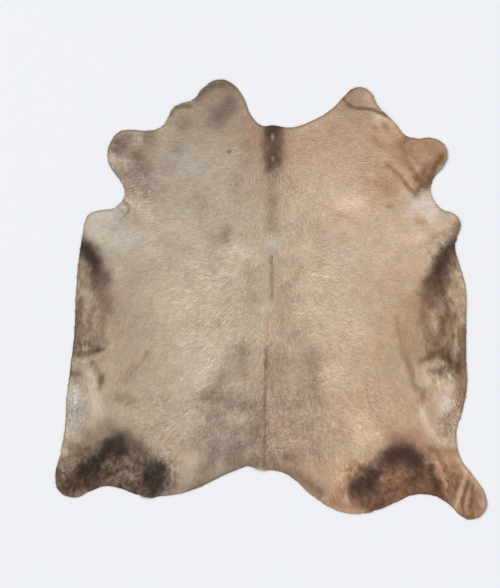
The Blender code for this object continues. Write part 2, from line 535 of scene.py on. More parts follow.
def hairWaves(places):
    # Short waves that wander over the coat: above 0 on a crest, below 0 in a hollow.
    wandered = drifted(
        places, coatValues["waveDrift"], coatValues["waveDriftSize"], seeds["waveDrift"]
    )
    wandered = wandered / coatValues["waveStretch"]
    size = coatValues["waveSize"]
    fine = latticeNoise(wandered, size, seeds["fineWave"])
    broad = latticeNoise(wandered, coatValues["broadWave"] * size, seeds["broadWave"])
    fineShare, broadShare = coatValues["waveShares"]
    return fineShare * fine + broadShare * broad


def waveShade(places):
    # Painted highlight and shade on the waves: a wave's side toward the light is brighter, and its
    # far side darker.
    reach = coatValues["waveLightReach"]
    mean, spread = coatValues["wavePatches"]
    patches = roughNoise(places, coatValues["wavePatchSize"], seeds["wavePatch"])
    difference = hairWaves(places + reach) - hairWaves(places - reach)
    return difference * smoothStep(mean + spread * patches)


# The markings

# Painted one over another: where each runs (cm), its reach to each side (cm), how firm its
# edge is (2 soft, 4 firm), its colour and how much it covers.

# Broad zones of the coat.
# The left half is greyer and the right half warmer: partly the hide's own colour, partly painted
# sheen from how the hair lies to the light.
broadZones = (
    ("left shoulder", ((-64, 68), (-54, 60)), 18, 2, "#9E8E7E", 0.95),
    ("left shoulder, light", ((-40, 70), (-24, 56)), 15, 2, "#BBAE9E", 0.95),
    ("left cheek", ((-30, 96),), 17, 2, "#9C8A7A", 0.95),
    ("left of the neck", ((-13, 78), (-12, 56)), 10, 2, "#AF9B87", 0.8),
    ("right of the neck", ((14, 76), (30, 78)), 18, 2, "#AE927A", 0.9),
    ("right shoulder", ((40, 76), (52, 66)), 20, 2, "#B2937A", 0.9),
    ("right cheek", ((44, 102),), 11, 2, "#A38974", 0.9),
    ("right chest", ((32, 54), (52, 40), (70, 24)), 20, 2, "#C1A890", 0.95),
    ("left chest", ((-60, 32), (-32, 18)), 26, 2, "#BCAE9D", 0.95),
    ("left ribs", ((-74, 4), (-70, -30)), 18, 2, "#AD9B87", 0.9),
    ("left back", ((-40, 0), (-26, -30)), 22, 2, "#C6B6A1", 0.95),
    ("right back", ((24, -6), (34, -46)), 24, 2, "#BCA88F", 0.95),
    ("right ribs", ((62, 2), (54, -30)), 18, 2, "#B3997F", 0.9),
    ("right thigh", ((44, -60), (66, -56)), 18, 2, "#B89B81", 0.95),
    ("right thigh, light", ((45, -61), (45, -69), (52, -68)), 4.4, 2, "#CFB499", 0.75),
    ("left thigh", ((-62, -52),), 22, 2, "#B6A590", 0.95),
    ("tail head", ((0, -52), (8, -76)), 16, 2, "#A58F7C", 0.85),
    ("left rump", ((-24, -58), (-30, -74)), 17, 2, "#A29283", 0.9),
    ("left rump, lower", ((-44, -86),), 11, 2, "#AE9B86", 0.7),
    ("right rump", ((24, -88), (30, -98)), 14, 2, "#B2937B", 0.85),
)

# The front on the left: cheek, shoulder, foreleg, armpit and chest.
leftFront = (
    ("cheek, dark rim", ((-37, 100.5), (-34, 103), (-29, 107), (-22, 108)), 3, 2, "#695847", 0.85),
    ("cheek, smudge", ((-20, 99), (-24, 93), (-27, 90.5)), 4.6, 2, "#7A685A", 0.85),
    ("cheek, tip", ((-20, 106),), 4, 2, "#907B6D", 0.6),
    # Painted shade in a fold of the cheek:
    ("cheek, lower fold", ((-51, 92), (-47, 95.3), (-40, 96.3)), 1.3, 2, "#6A5847", 0.85),
    ("cheek, second smudge", ((-43, 88),), 5, 2, "#8B7A69", 0.75),
    ("beside the neck, rust", ((-12, 88), (-8, 78)), 4, 2, "#A58372", 0.6),
    ("shoulder, dark dot", ((-21, 73.5),), 1.1, 2, "#75665A", 0.8),
    ("shoulder, tan spot", ((-17, 62), (-16, 59)), 2, 2, "#A4927B", 0.4),
    ("shoulder, pale spot", ((-18, 55.5),), 3, 2, "#BBAB9B", 0.6),
    ("shoulder, smudge", ((-22, 34), (-22.5, 31.5)), 3, 2, "#8F8074", 0.75),
    ("shoulder, second smudge", ((-29, 31), (-26, 29)), 4, 2, "#A6957F", 0.6),
    ("shoulder, faint smudge", ((-36, 51), (-34, 45)), 4, 2, "#A39380", 0.7),
    ("shoulder, band", ((-58, 54), (-70, 52)), 6, 2, "#9C8B7B", 0.4),
    ("foreleg", ((-72, 78), (-66, 64)), 10, 2, "#958372", 0.65),
    ("foreleg, dark spot", ((-77, 79), (-73, 77), (-78, 74)), 3.6, 2, "#7A6857", 0.85),
    ("foreleg, second spot", ((-69, 73), (-65, 71)), 3, 2, "#887563", 0.8),
    ("foreleg, third spot", ((-71, 62), (-65, 65)), 3.6, 2, "#8B7969", 0.7),
    ("foreleg, brown spot", ((-61, 82),), 3.2, 2, "#87735F", 0.85),
    ("shoulder, grey smudge", ((-47, 74.5),), 4.5, 2, "#978A7B", 0.75),
    ("foreleg, pale top", ((-68, 82), (-66, 80)), 2.4, 2, "#AFA090", 0.75),
    ("foreleg, pale middle", ((-68, 77),), 2.8, 2, "#AF9F8E", 0.75),
    ("foreleg, pale bar", ((-80, 70), (-76, 69), (-71, 68)), 2.3, 2, "#B9AD9D", 0.85),
    ("armpit", ((-86, 43.5), (-80, 42.5)), 5, 2, "#C8C2BB", 0.88),
    ("armpit, brown edge", ((-93.5, 33),), 2.6, 2, "#857360", 0.7),
    ("armpit, pale shoulder", ((-67, 47), (-62, 43)), 3.6, 2, "#C2B4A3", 0.6),
    ("chest, pale side", ((-67.5, 36),), 4.5, 2, "#C9BCAC", 0.6),
    ("elbow", ((-84, 35), (-74, 30)), 9, 2, "#C8BEB0", 0.8),
    ("armpit, tan", ((-72, 41), (-67, 40)), 3.5, 2, "#AC9A88", 0.7),
    # Painted shade in the crack, and a painted highlight on its lip:
    ("armpit, crack", ((-73.2, 49.2), (-70.4, 46.6), (-71.4, 43.2)), 0.7, 2, "#7B6854", 0.85),
    ("armpit, lip of the crack", ((-72.5, 50.5), (-69, 47)), 0.8, 2, "#D2C7BA", 0.7),
    ("armpit, grey streak", ((-80, 37), (-77, 35)), 1.8, 2, "#A2978A", 0.35),
    ("armpit, pale spot", ((-76, 13), (-75, 16)), 2.6, 2, "#BDB4A8", 0.7),
)

# The front on the right.
rightFront = (
    ("cheek, light", ((48, 100), (49, 97)), 3, 2, "#BDA28B", 0.7),
    ("cheek, dark edge", ((36, 100), (40, 105)), 2, 2, "#8C7059", 0.7),
    ("cheek, below the crease", ((54, 89), (57, 88.5), (61, 86)), 3.4, 2, "#D3B69A", 0.9),
    ("cheek, shade", ((44, 90),), 3.5, 2, "#AE8F78", 0.7),
    # Painted shade in the cheek's crease and in the shoulder's puckers:
    ("cheek, crease", ((36.5, 99.5), (38.5, 97), (43, 95.3), (50, 94.5), (60, 90.6)),
     0.9, 3, "#5F4533", 0.8),
    ("shoulder, first pucker", ((56, 86.5), (59, 84)), 2.2, 2, "#97714F", 0.85),
    ("shoulder, second pucker", ((50.5, 86), (52, 85)), 1.2, 2, "#A17C5E", 0.8),
    ("shoulder, third pucker", ((50.5, 80.5), (54, 77), (56, 76)), 1.9, 2, "#9A7658", 0.85),
    ("shoulder, pale patch", ((60, 78),), 3.2, 2, "#C6A486", 0.8),
    ("foreleg", ((68, 76), (80, 75)), 9.5, 4, "#9F7C5F", 0.95),
    ("shoulder, light edge", ((61, 84), (64, 82)), 2, 2, "#C8A98A", 0.8),
    ("foreleg, light", ((74, 67), (78, 70)), 3.4, 2, "#B28F6F", 0.7),
    ("foreleg, root", ((67.5, 80.5),), 2.4, 2, "#8A6A50", 0.8),
    ("foreleg, neck", ((62, 70), (66, 62)), 6, 2, "#B39073", 0.7),
    # Painted shade in the folds of the foreleg, and a painted highlight on the gap between them:
    ("foreleg, first fold", ((65, 77), (67, 70), (70, 65.5), (73, 61)), 1.7, 2, "#8B6B52", 0.65),
    ("foreleg, second fold", ((58, 67), (65, 60.8), (68.5, 56.5)), 1.3, 2, "#82624A", 0.7),
    ("foreleg, end of the second fold", ((67, 58.2), (71.7, 52.8)), 1.2, 2, "#74543C", 0.85),
    ("foreleg, light gap", ((68.3, 61.5), (70, 57.6)), 1.4, 2, "#C3A183", 0.9),
    ("foreleg, rust", ((73, 60.5), (78, 58.5)), 3, 2, "#7C5033", 0.85),
    ("foreleg, rim", ((85, 71.5), (81.6, 65.5), (79, 59.5)), 2.3, 2, "#644529", 0.92),
    ("foreleg, inner shade", ((77.5, 66), (76, 62)), 3, 2, "#7F5F46", 0.75),
    ("chest, brown", ((52, 58), (58, 55)), 6, 2, "#A68465", 0.85),
    ("chest, spot", ((59, 47),), 1.7, 2, "#92704F", 0.8),
    ("chest, light", ((37, 48), (42, 48)), 4.6, 2, "#D6BFA5", 0.8),
    ("chest, crescent", ((28, 46), (34, 41), (42, 40)), 2.6, 2, "#B99C83", 0.7),
    ("shoulder, light", ((36, 72), (42, 70)), 6, 2, "#B99D85", 0.7),
    ("shoulder, pale fleck", ((50, 62),), 2.6, 2, "#D2B293", 0.65),
    ("shoulder, brown", ((40, 80), (45, 86)), 5, 2, "#B0917A", 0.6),
    ("armpit", ((73, 49), (79, 48)), 4.8, 2, "#CFC3BC", 0.9),
    ("armpit, tan side", ((71, 52.5),), 1.8, 2, "#957760", 0.65),
    ("armpit, lower light", ((79, 41),), 3.5, 2, "#DACABA", 0.7),
    ("foreleg, corner", ((72.5, 53.4), (74.5, 56), (77, 57)), 2.6, 2, "#735236", 0.92),
    ("armpit, tan streak", ((72, 38.5), (77, 39)), 1.7, 2, "#B1906F", 0.8),
    ("elbow, shade", ((80, 32), (90, 35.5)), 2, 2, "#AB9178", 0.8),
    ("elbow, edge", ((93, 37), (93.3, 34)), 2.3, 2, "#7A624E", 0.88),
)

# Ribs, back and loin.
backMarks = (
    ("right ribs, pink", ((24, 34), (32, 30)), 4.5, 2, "#B59A85", 0.7),
    ("right back, light", ((30, -8), (42, -14)), 8, 2, "#C4B198", 0.7),
    ("right back, low light", ((30, -36),), 6, 2, "#D0BBA2", 0.6),
    ("left loin, light", ((-13, 24), (-20, 14)), 7, 2, "#CEC0AB", 0.5),
    ("left loin, pale", ((-16.5, 25.5), (-14, 22)), 3.4, 2, "#CEC3B3", 0.6),
    ("left back, light", ((-30, -24), (-34, -37)), 6, 2, "#CDC1AC", 0.85),
    # Painted shade in a furrow:
    ("left back, first furrow", ((-11.5, 16), (-10.5, 4), (-9, -5)), 3.2, 2, "#A7967F", 0.7),
    ("left back, first speck", ((-20.5, 8),), 1.8, 2, "#A08D78", 0.5),
    ("left back, second speck", ((-28, -11), (-25.5, -11.5)), 1.6, 2, "#A58C78", 0.5),
    ("left back, light by the spine", ((-5, -4),), 3, 2, "#CDBEA9", 0.6),
    # Painted highlights on the crests of wrinkles:
    ("left back, first wrinkle", ((-50.5, 5.5), (-44, 4.6), (-38.6, 4)), 0.5, 2, "#DCCFBA", 0.6),
    ("left back, second wrinkle", ((-49, -1.6), (-39.5, -2.4)), 0.5, 2, "#DCCFBA", 0.6),
    ("left back, third wrinkle", ((-41, 19), (-31.5, 18)), 0.45, 2, "#D5C9B7", 0.5),
    ("left back, fourth wrinkle", ((-36.5, 11.2), (-31, 10.8)), 0.5, 2, "#DCCFBA", 0.6),
    # Painted shade in furrows, and a painted highlight on a wrinkle:
    ("right back, first furrow", ((7.5, 6), (12, 11), (16, 15.5)), 1.8, 2, "#A8937C", 0.6),
    ("right back, wrinkle", ((19, 13.3), (24, 12), (28.5, 11.2)), 0.6, 2, "#DFCEB6", 0.65),
    ("right back, second furrow", ((14, -16), (10, -19), (6.5, -23)), 1.8, 2, "#A58D74", 0.5),
    ("left back, side", ((-38, -28), (-43, -42)), 8, 2, "#C4B6A2", 0.7),
    ("left back, far light", ((-51.5, -29),), 5.5, 2, "#C8B9A4", 0.6),
)

# Along the spine.
spineMarks = (
    ("stripe, halo", ((1.5, 88), (1.5, 72)), 7.6, 2, "#8C6D56", 0.78),
    ("stripe", ((1.3, 92), (1.2, 76), (1.0, 71)), 4.6, 3, "#5F493C", 0.93),
    ("stripe, left side", ((-2.6, 84), (-3.2, 74), (-2.6, 69)), 1.8, 2, "#6F5341", 0.6),
    ("stripe, foot", ((0.8, 71), (-0.3, 65)), 3.2, 2, "#594436", 0.92),
    ("stripe, neck", ((0.5, 89), (0.5, 83)), 4, 3, "#4A362A", 0.85),
    ("stripe, side", ((5, 84), (4.6, 79)), 1.7, 2, "#6A5343", 0.6),
    ("stripe, pale flecks", ((0.9, 81.6), (0.9, 80)), 0.7, 2, "#B5A496", 0.7),
    ("stripe, pale fleck", ((0.9, 70.6), (1, 69.8)), 0.7, 2, "#A7958A", 0.65),
    ("stripe, fading", ((0.5, 60), (0.5, 36)), 3.4, 2, "#957F6C", 0.75),
    ("pale spot", ((0.5, 28),), 3.2, 2, "#BDB5AB", 0.8),
    ("front line", ((0.5, 21), (0.6, 1)), 0.9, 2, "#6F5D50", 0.85),
    ("front shade", ((0.5, 18), (0.6, 4)), 3.4, 2, "#A6937F", 0.6),
    ("right of the spine, shade", ((6, 4), (5, -14)), 4.2, 2, "#A5937C", 0.7),
    ("tan", ((-1.5, -10), (-2, -22)), 2.4, 2, "#B99F86", 0.6),
    ("pink side", ((-7, -24), (-6, -50)), 3.8, 2, "#AC9580", 0.5),
    ("rear line", ((-2, -24), (-2.6, -34), (-3, -60), (-3.4, -84)), 1.2, 2, "#86695A", 0.7),
    ("dark knot", ((-2, -33),), 2, 2, "#735B48", 0.7),
    ("side shade", ((0.5, -34), (0.5, -44)), 1.6, 2, "#8C7663", 0.7),
    ("light line", ((-1.4, -46), (-1.6, -56)), 0.8, 2, "#C0A594", 0.6),
)

# Loin, rump and tail.
rumpMarks = (
    ("loin, grey shade", ((-13, -25), (-14.5, -36)), 3.2, 2, "#94836D", 0.8),
    ("loin, right shade", ((3.5, -26), (4.5, -40)), 3.6, 2, "#9C8773", 0.8),
    ("loin, low shade", ((5.5, -52),), 3, 2, "#96826F", 0.75),
    ("loin, far shade", ((14, -31), (15, -52)), 4.8, 2, "#9D8773", 0.7),
    ("loin, third shade", ((22.8, -50), (21, -38), (20.5, -27)), 3.3, 2, "#937D6A", 0.75),
    ("loin, upper shade", ((12, -18), (20, -29)), 5, 2, "#9D8A75", 0.7),
    ("loin, inner shade", ((9, -32),), 3.4, 2, "#94806D", 0.7),
    ("left back, sweep", ((-24, -38), (-29, -47)), 4.6, 2, "#978777", 0.75),
    ("left back, upper sweep", ((-15, -26), (-20, -29)), 3.8, 2, "#998979", 0.6),
    ("left rump, band", ((-34, -49.5), (-28, -49), (-19, -51.5), (-9, -53)), 4, 2, "#8F7E6E", 0.72),
    ("left rump, light gap", ((-18, -58), (-14, -59.5)), 3.2, 2, "#B6A592", 0.75),
    ("left rump, inner shade", ((-9, -58.5),), 2.8, 2, "#917C6B", 0.65),
    ("left rump, middle shade", ((-18.5, -69.5),), 3, 2, "#8A786B", 0.6),
    ("left rump, light side", ((-38, -57), (-45, -63)), 6, 2, "#BEAF9E", 0.85),
    ("left rump, dark side", ((-28, -75), (-33, -86)), 3.8, 2, "#897969", 0.8),
    ("left rump, lower shade", ((-11, -72), (-20, -77)), 4.5, 2, "#7F6E62", 0.75),
    ("left of the tail, light", ((-11, -78),), 3, 2, "#AE9A88", 0.8),
    ("left rump, shade", ((-28, -56), (-26, -62)), 3.6, 2, "#978677", 0.7),
    ("left rump, light spot", ((-40, -80),), 4, 2, "#C0AF9D", 0.8),
    ("left rump, tan spot", ((-50, -79),), 4, 2, "#B9A68D", 0.7),
    ("left of the tail", ((-8, -64), (-5, -71)), 3.8, 2, "#8A7667", 0.8),
    ("left of the tail, edge", ((-20, -81.5), (-12, -81), (-5, -80)), 3, 2, "#84725F", 0.8),
    ("left rump, edge", ((-40, -95), (-28, -91), (-17, -85), (-7, -82.5)), 3.4, 2, "#76675A", 0.8),
    ("right of the tail, pink", ((4, -61), (7, -66)), 3.2, 2, "#AF9582", 0.75),
    ("right of the tail, shade", ((7.5, -79), (11.5, -79.5)), 3, 2, "#7D6754", 0.85),
    ("tail, shade", ((2, -82.5), (0, -77.5)), 2.2, 2, "#7D6858", 0.7),
    ("right of the tail, edge", ((2, -84), (14, -88.5), (24, -96)), 3, 2, "#7A6352", 0.8),
    ("right rump, shade", ((16, -78), (24, -76)), 4.5, 2, "#A68973", 0.75),
    ("right rump, bronze", ((20, -72), (14, -66)), 4.5, 2, "#A58B78", 0.6),
    ("right rump, grey shade", ((18.5, -62),), 4, 2, "#968170", 0.65),
    ("tail tuft, rust", ((-3, -81), (-2.5, -83.5)), 1.6, 2, "#84644F", 0.65),
    ("tail tuft, pale", ((-11, -85.2), (-5, -86.3), (0.5, -87.5)), 1.2, 3, "#E2D8CC", 0.92),
)

# The left flank and belly.
leftFlank = (
    ("flank", ((-91, 4), (-90, -20)), 7, 4, "#9C8874", 0.85),
    ("flank, top", ((-95, 15.5), (-94, 8)), 3.6, 2, "#94836F", 0.8),
    ("flank, lower", ((-94, -18),), 3, 2, "#735E47", 0.8),
    ("flank band", ((-95.5, 27), (-90.5, 23), (-87, 17), (-85.5, 11)), 5.3, 3, "#38271B", 0.97),
    ("flank band, edge", ((-96, 22),), 2.4, 2, "#56453A", 0.75),
    ("flank band, light side", ((-80, 15.5),), 2.8, 2, "#B3A18D", 0.8),
    ("flank band, halo", ((-85, 10), (-83, 2), (-81, -5)), 4.4, 2, "#7B6454", 0.8),
    ("flank, edge strip", ((-95.5, -2), (-96.5, -12), (-98, -24)), 2.6, 2, "#725A43", 0.88),
    ("flank, pale streak", ((-91, 3), (-91.5, -9)), 1.8, 2, "#AF9D89", 0.8),
    ("flank, inner streak", ((-84, -6), (-83.5, -21)), 2, 2, "#8C755E", 0.75),
    ("flank, second streak", ((-90, -8), (-89, -20)), 1.6, 2, "#8F7B66", 0.6),
    # Painted shade in the crease and pinch of the flank:
    ("flank, crease shade", ((-99, -28), (-91, -27.2), (-86, -25.5)), 2.4, 2, "#6A5643", 0.75),
    ("flank, crease", ((-98, -26.6), (-90, -26.2), (-86, -25.3)), 1.0, 2, "#65513D", 0.6),
    ("flank, end of the crease", ((-87, -25.6), (-83.6, -24.7)), 0.7, 2, "#49372A", 0.85),
    ("flank, upper crease", ((-96.5, -21.8), (-93.5, -22.2)), 0.6, 2, "#5E4B39", 0.7),
    ("flank, lip of the crease", ((-90, -22.4), (-85.5, -23.6)), 0.9, 2, "#66503E", 0.7),
    ("flank, upper wedge", ((-97, -21.5), (-87, -21)), 1.9, 2, "#7A644E", 0.85),
    ("belly, pale band", ((-90.5, -38), (-88.3, -44), (-87.3, -50), (-86.5, -60), (-90, -63)),
     3.6, 3, "#CBBCAA", 0.88),
    ("belly, edge mark", ((-101.5, -31), (-101.5, -37), (-96, -37)), 2.2, 2, "#6F5C48", 0.85),
    ("belly, olive line", ((-89, -31), (-86.5, -36), (-85, -40), (-85.5, -44)),
     1.7, 2, "#87755C", 0.65),
    ("belly, olive spot", ((-84, -38.6), (-85, -41)), 1.7, 2, "#6C5A42", 0.85),
    ("belly patch", ((-96.8, -49), (-97, -60)), 5.2, 3, "#B0A69B", 0.9),
    ("belly patch, bright", ((-98, -45.5), (-97.6, -51)), 2.3, 2, "#C6C1BC", 0.85),
    ("belly patch, grey", ((-101, -57), (-95, -55)), 2.6, 2, "#A39A91", 0.6),
    ("belly, lower pale", ((-103, -67), (-96, -71)), 3.2, 2, "#C0B5A6", 0.85),
    ("belly, tan", ((-95, -40),), 3.4, 2, "#988673", 0.75),
    ("belly, smudges", ((-68, -34), (-70, -36)), 3, 2, "#94826C", 0.75),
    ("belly, second smudge", ((-75, -49), (-68.5, -51)), 3.2, 2, "#998772", 0.8),
    ("belly, third smudge", ((-72, -40),), 3, 2, "#958370", 0.65),
    ("belly, scar", ((-62, -27), (-66, -33)), 1.4, 2, "#978470", 0.6),
)

# The left hock and hind leg.
leftHock = (
    ("top", ((-92, -66), (-80, -63)), 4, 2, "#8F7B67", 0.7),
    ("outer", ((-98, -76.5), (-90, -73.5)), 5.6, 2, "#78624C", 0.88),
    ("hock", ((-99, -90), (-88, -86), (-78, -85), (-68, -86), (-60, -89)),
     10.5, 4, "#5A4636", 0.97),
    ("right of the arc", ((-71, -70), (-64, -76)), 5.2, 2, "#5A4738", 0.85),
    ("skirt", ((-54, -94), (-48, -93.5)), 3.8, 2, "#78665A", 0.8),
    ("arc", ((-93, -86), (-87, -81.5), (-82, -75)), 5, 3, "#2C1F15", 0.94),
    ("crown", ((-80, -72), (-76.5, -70.5), (-75, -75)), 5.6, 3, "#2F2219", 0.95),
    ("edge", ((-100, -92), (-90, -91)), 5, 2, "#44321F", 0.85),
    ("spot", ((-58.5, -85), (-59, -92.5)), 6.2, 3, "#362A25", 0.96),
    ("lower edge", ((-78, -93.2), (-66, -96.8), (-58, -98)), 2.3, 2, "#463529", 0.75),
    ("first light curl", ((-84, -83), (-81, -81.5), (-77, -84)), 1.2, 2, "#9A8570", 0.4),
    ("second light curl", ((-76, -88), (-72, -86), (-69.5, -89)), 1.8, 2, "#9F8A75", 0.55),
    ("third light curl", ((-82, -90), (-77, -91)), 1.4, 2, "#96816C", 0.4),
    ("fourth light curl", ((-76, -81.5), (-75, -83)), 1.5, 2, "#9A8572", 0.55),
    ("light patch", ((-73, -80.5), (-66.5, -82.5)), 2.5, 2, "#8D7765", 0.75),
    ("low shade", ((-82, -89.5), (-77.5, -88.5)), 2.6, 2, "#5C4836", 0.7),
    ("dark of the fringe", ((-86, -93),), 2.0, 2, "#3E2F21", 0.65),
    ("rust patch", ((-97.5, -73),), 2.4, 2, "#6A503B", 0.8),
    ("outer shade", ((-97.5, -76),), 2.4, 2, "#735B44", 0.75),
    ("pale rim", ((-96, -69.8),), 2.2, 2, "#B5A28E", 0.7),
    ("tan corner", ((-99.5, -83), (-99, -80)), 2.4, 2, "#8F7A63", 0.5),
    ("hind leg, shade by the edge", ((-102.6, -70.8),), 2.0, 2, "#85725E", 0.6),
    ("shade at the top", ((-79.3, -66.8),), 2.2, 2, "#63513F", 0.55),
    ("first dark curl", ((-82, -85), (-78, -86.5), (-74, -84)), 1.0, 2, "#4E3C2D", 0.6),
    ("second dark curl", ((-71, -80), (-66, -81)), 1.2, 2, "#59473A", 0.55),
    ("hind leg", ((-105.5, -81), (-107, -88)), 4.2, 2, "#6E5A47", 0.85),
    ("hind foot, rim", ((-107, -88), (-105, -95)), 3, 2, "#57462F", 0.7),
    ("hind leg, tan", ((-102, -77), (-99, -74)), 3, 2, "#A3907B", 0.6),
    ("hind leg, shade", ((-101.3, -80),), 2.2, 2, "#6E5843", 0.7),
    ("hind leg, light edge", ((-104.5, -74.5), (-105.5, -77.5)), 2.4, 2, "#C0AF9B", 0.85),
    ("hind leg, pale streak", ((-104.2, -82), (-103.2, -90)), 0.5, 2, "#A5917C", 0.4),
)

# The right flank and belly.
rightFlank = (
    ("flank", ((82, 5), (84, -18)), 8.5, 4, "#8C7058", 0.85),
    ("flank band", ((91.6, 27), (87.4, 22), (84.5, 16.5), (81.3, 8.5)), 5.5, 3, "#2E1B0B", 0.95),
    ("flank band, top", ((92, 30.5),), 2.4, 2, "#6B523F", 0.8),
    ("flank band, foot", ((81, 6), (78, -1)), 4.2, 2, "#6B5140", 0.85),
    ("flank band, side", ((87.5, 12), (85.5, 3)), 2.8, 2, "#654C38", 0.8),
    ("flank band, outer side", ((91.5, 21), (90.5, 15)), 3, 2, "#725A46", 0.85),
    ("flank band, inner shade", ((82.3, 20.2), (83.5, 21.5)), 1.7, 2, "#553D2B", 0.6),
    ("flank, shade by the edge", ((93.8, 15.2),), 2.0, 2, "#8B715A", 0.5),
    ("flank, left streak", ((75, 2), (75.5, -11)), 2.6, 2, "#7B5D46", 0.87),
    ("flank, light gap", ((81, -7), (81.5, -15)), 2, 2, "#AA937A", 0.8),
    ("flank, left side", ((78.5, -17), (80.5, -21)), 3, 2, "#785D44", 0.8),
    ("flank, middle", ((92, 11), (94, 2)), 3.2, 2, "#A0876E", 0.75),
    ("flank, brown", ((87, -2), (86, -13), (84.5, -20)), 2.5, 2, "#725942", 0.85),
    ("flank, shade", ((90.5, -7), (91.5, -22)), 3.4, 2, "#7E634C", 0.85),
    ("flank, first mark", ((79, -27.5), (84, -26.5), (86.5, -26.5)), 4, 3, "#6B513A", 0.9),
    ("flank, dark foot", ((75.5, -30.5), (80, -29)), 2, 2, "#71543D", 0.85),
    ("flank, second mark", ((88.3, -28.5), (90.5, -34)), 3.2, 2, "#523824", 0.92),
    ("flank, third mark", ((94, -28), (93.5, -39)), 2.3, 2, "#5E4430", 0.88),
    ("flank, foot of the marks", ((80.5, -36), (86, -34.5)), 2.2, 2, "#735539", 0.85),
    ("flank, light fleck", ((86.4, -27.4),), 1.5, 2, "#8F745C", 0.55),
    ("flank, edge strip", ((95.5, -15), (96.5, -24), (96.5, -33)), 3.2, 2, "#785C44", 0.88),
    ("belly, edge strip", ((97, -42), (97, -48), (96, -53)), 2.8, 2, "#7A5D47", 0.85),
    ("flank, edge", ((95.5, 0), (95.5, -9)), 2.6, 2, "#A0866E", 0.7),
    # A painted highlight on a wrinkle:
    ("flank, light streak", ((92.6, -11), (91.8, -24)), 0.8, 2, "#B99A7C", 0.75),
    ("flank, pale gap", ((78.5, -38), (77, -42)), 2.6, 2, "#C4AA8F", 0.75),
    ("flank, shade by the gap", ((76.5, -33),), 2.2, 2, "#9B7C61", 0.6),
    ("belly, side", ((94.5, -41), (94.5, -50)), 3.6, 2, "#93765F", 0.85),
    ("flank, wedge", ((75.5, -46), (75.5, -49)), 2, 2, "#8F7056", 0.8),
    # Painted shade in the long trough over the ribs:
    ("ribs, long line", ((62.5, -9), (65.5, -24), (69, -36), (72, -44)), 2, 2, "#957559", 0.82),
    ("ribs, second line", ((73, 0), (72, -6)), 2.6, 2, "#9C8067", 0.7),
    ("ribs, shade", ((68.5, -4), (70, -16), (73.5, -25)), 5.4, 2, "#A3856A", 0.75),
    ("belly patch", ((86, -46), (87, -58)), 4.4, 3, "#C8B29D", 0.9),
    ("belly patch, bright", ((87.5, -50), (87.5, -55)), 2.2, 2, "#D6CABF", 0.85),
    ("belly, shade", ((90.5, -57), (87, -62), (88, -67)), 3.2, 2, "#957A66", 0.75),
    ("belly, rim", ((75, -55), (79, -64), (83, -68.5), (86, -70)), 2.1, 3, "#CCB49E", 0.8),
    ("thigh, foot", ((84.5, -68),), 2.6, 2, "#A4866F", 0.65),
)

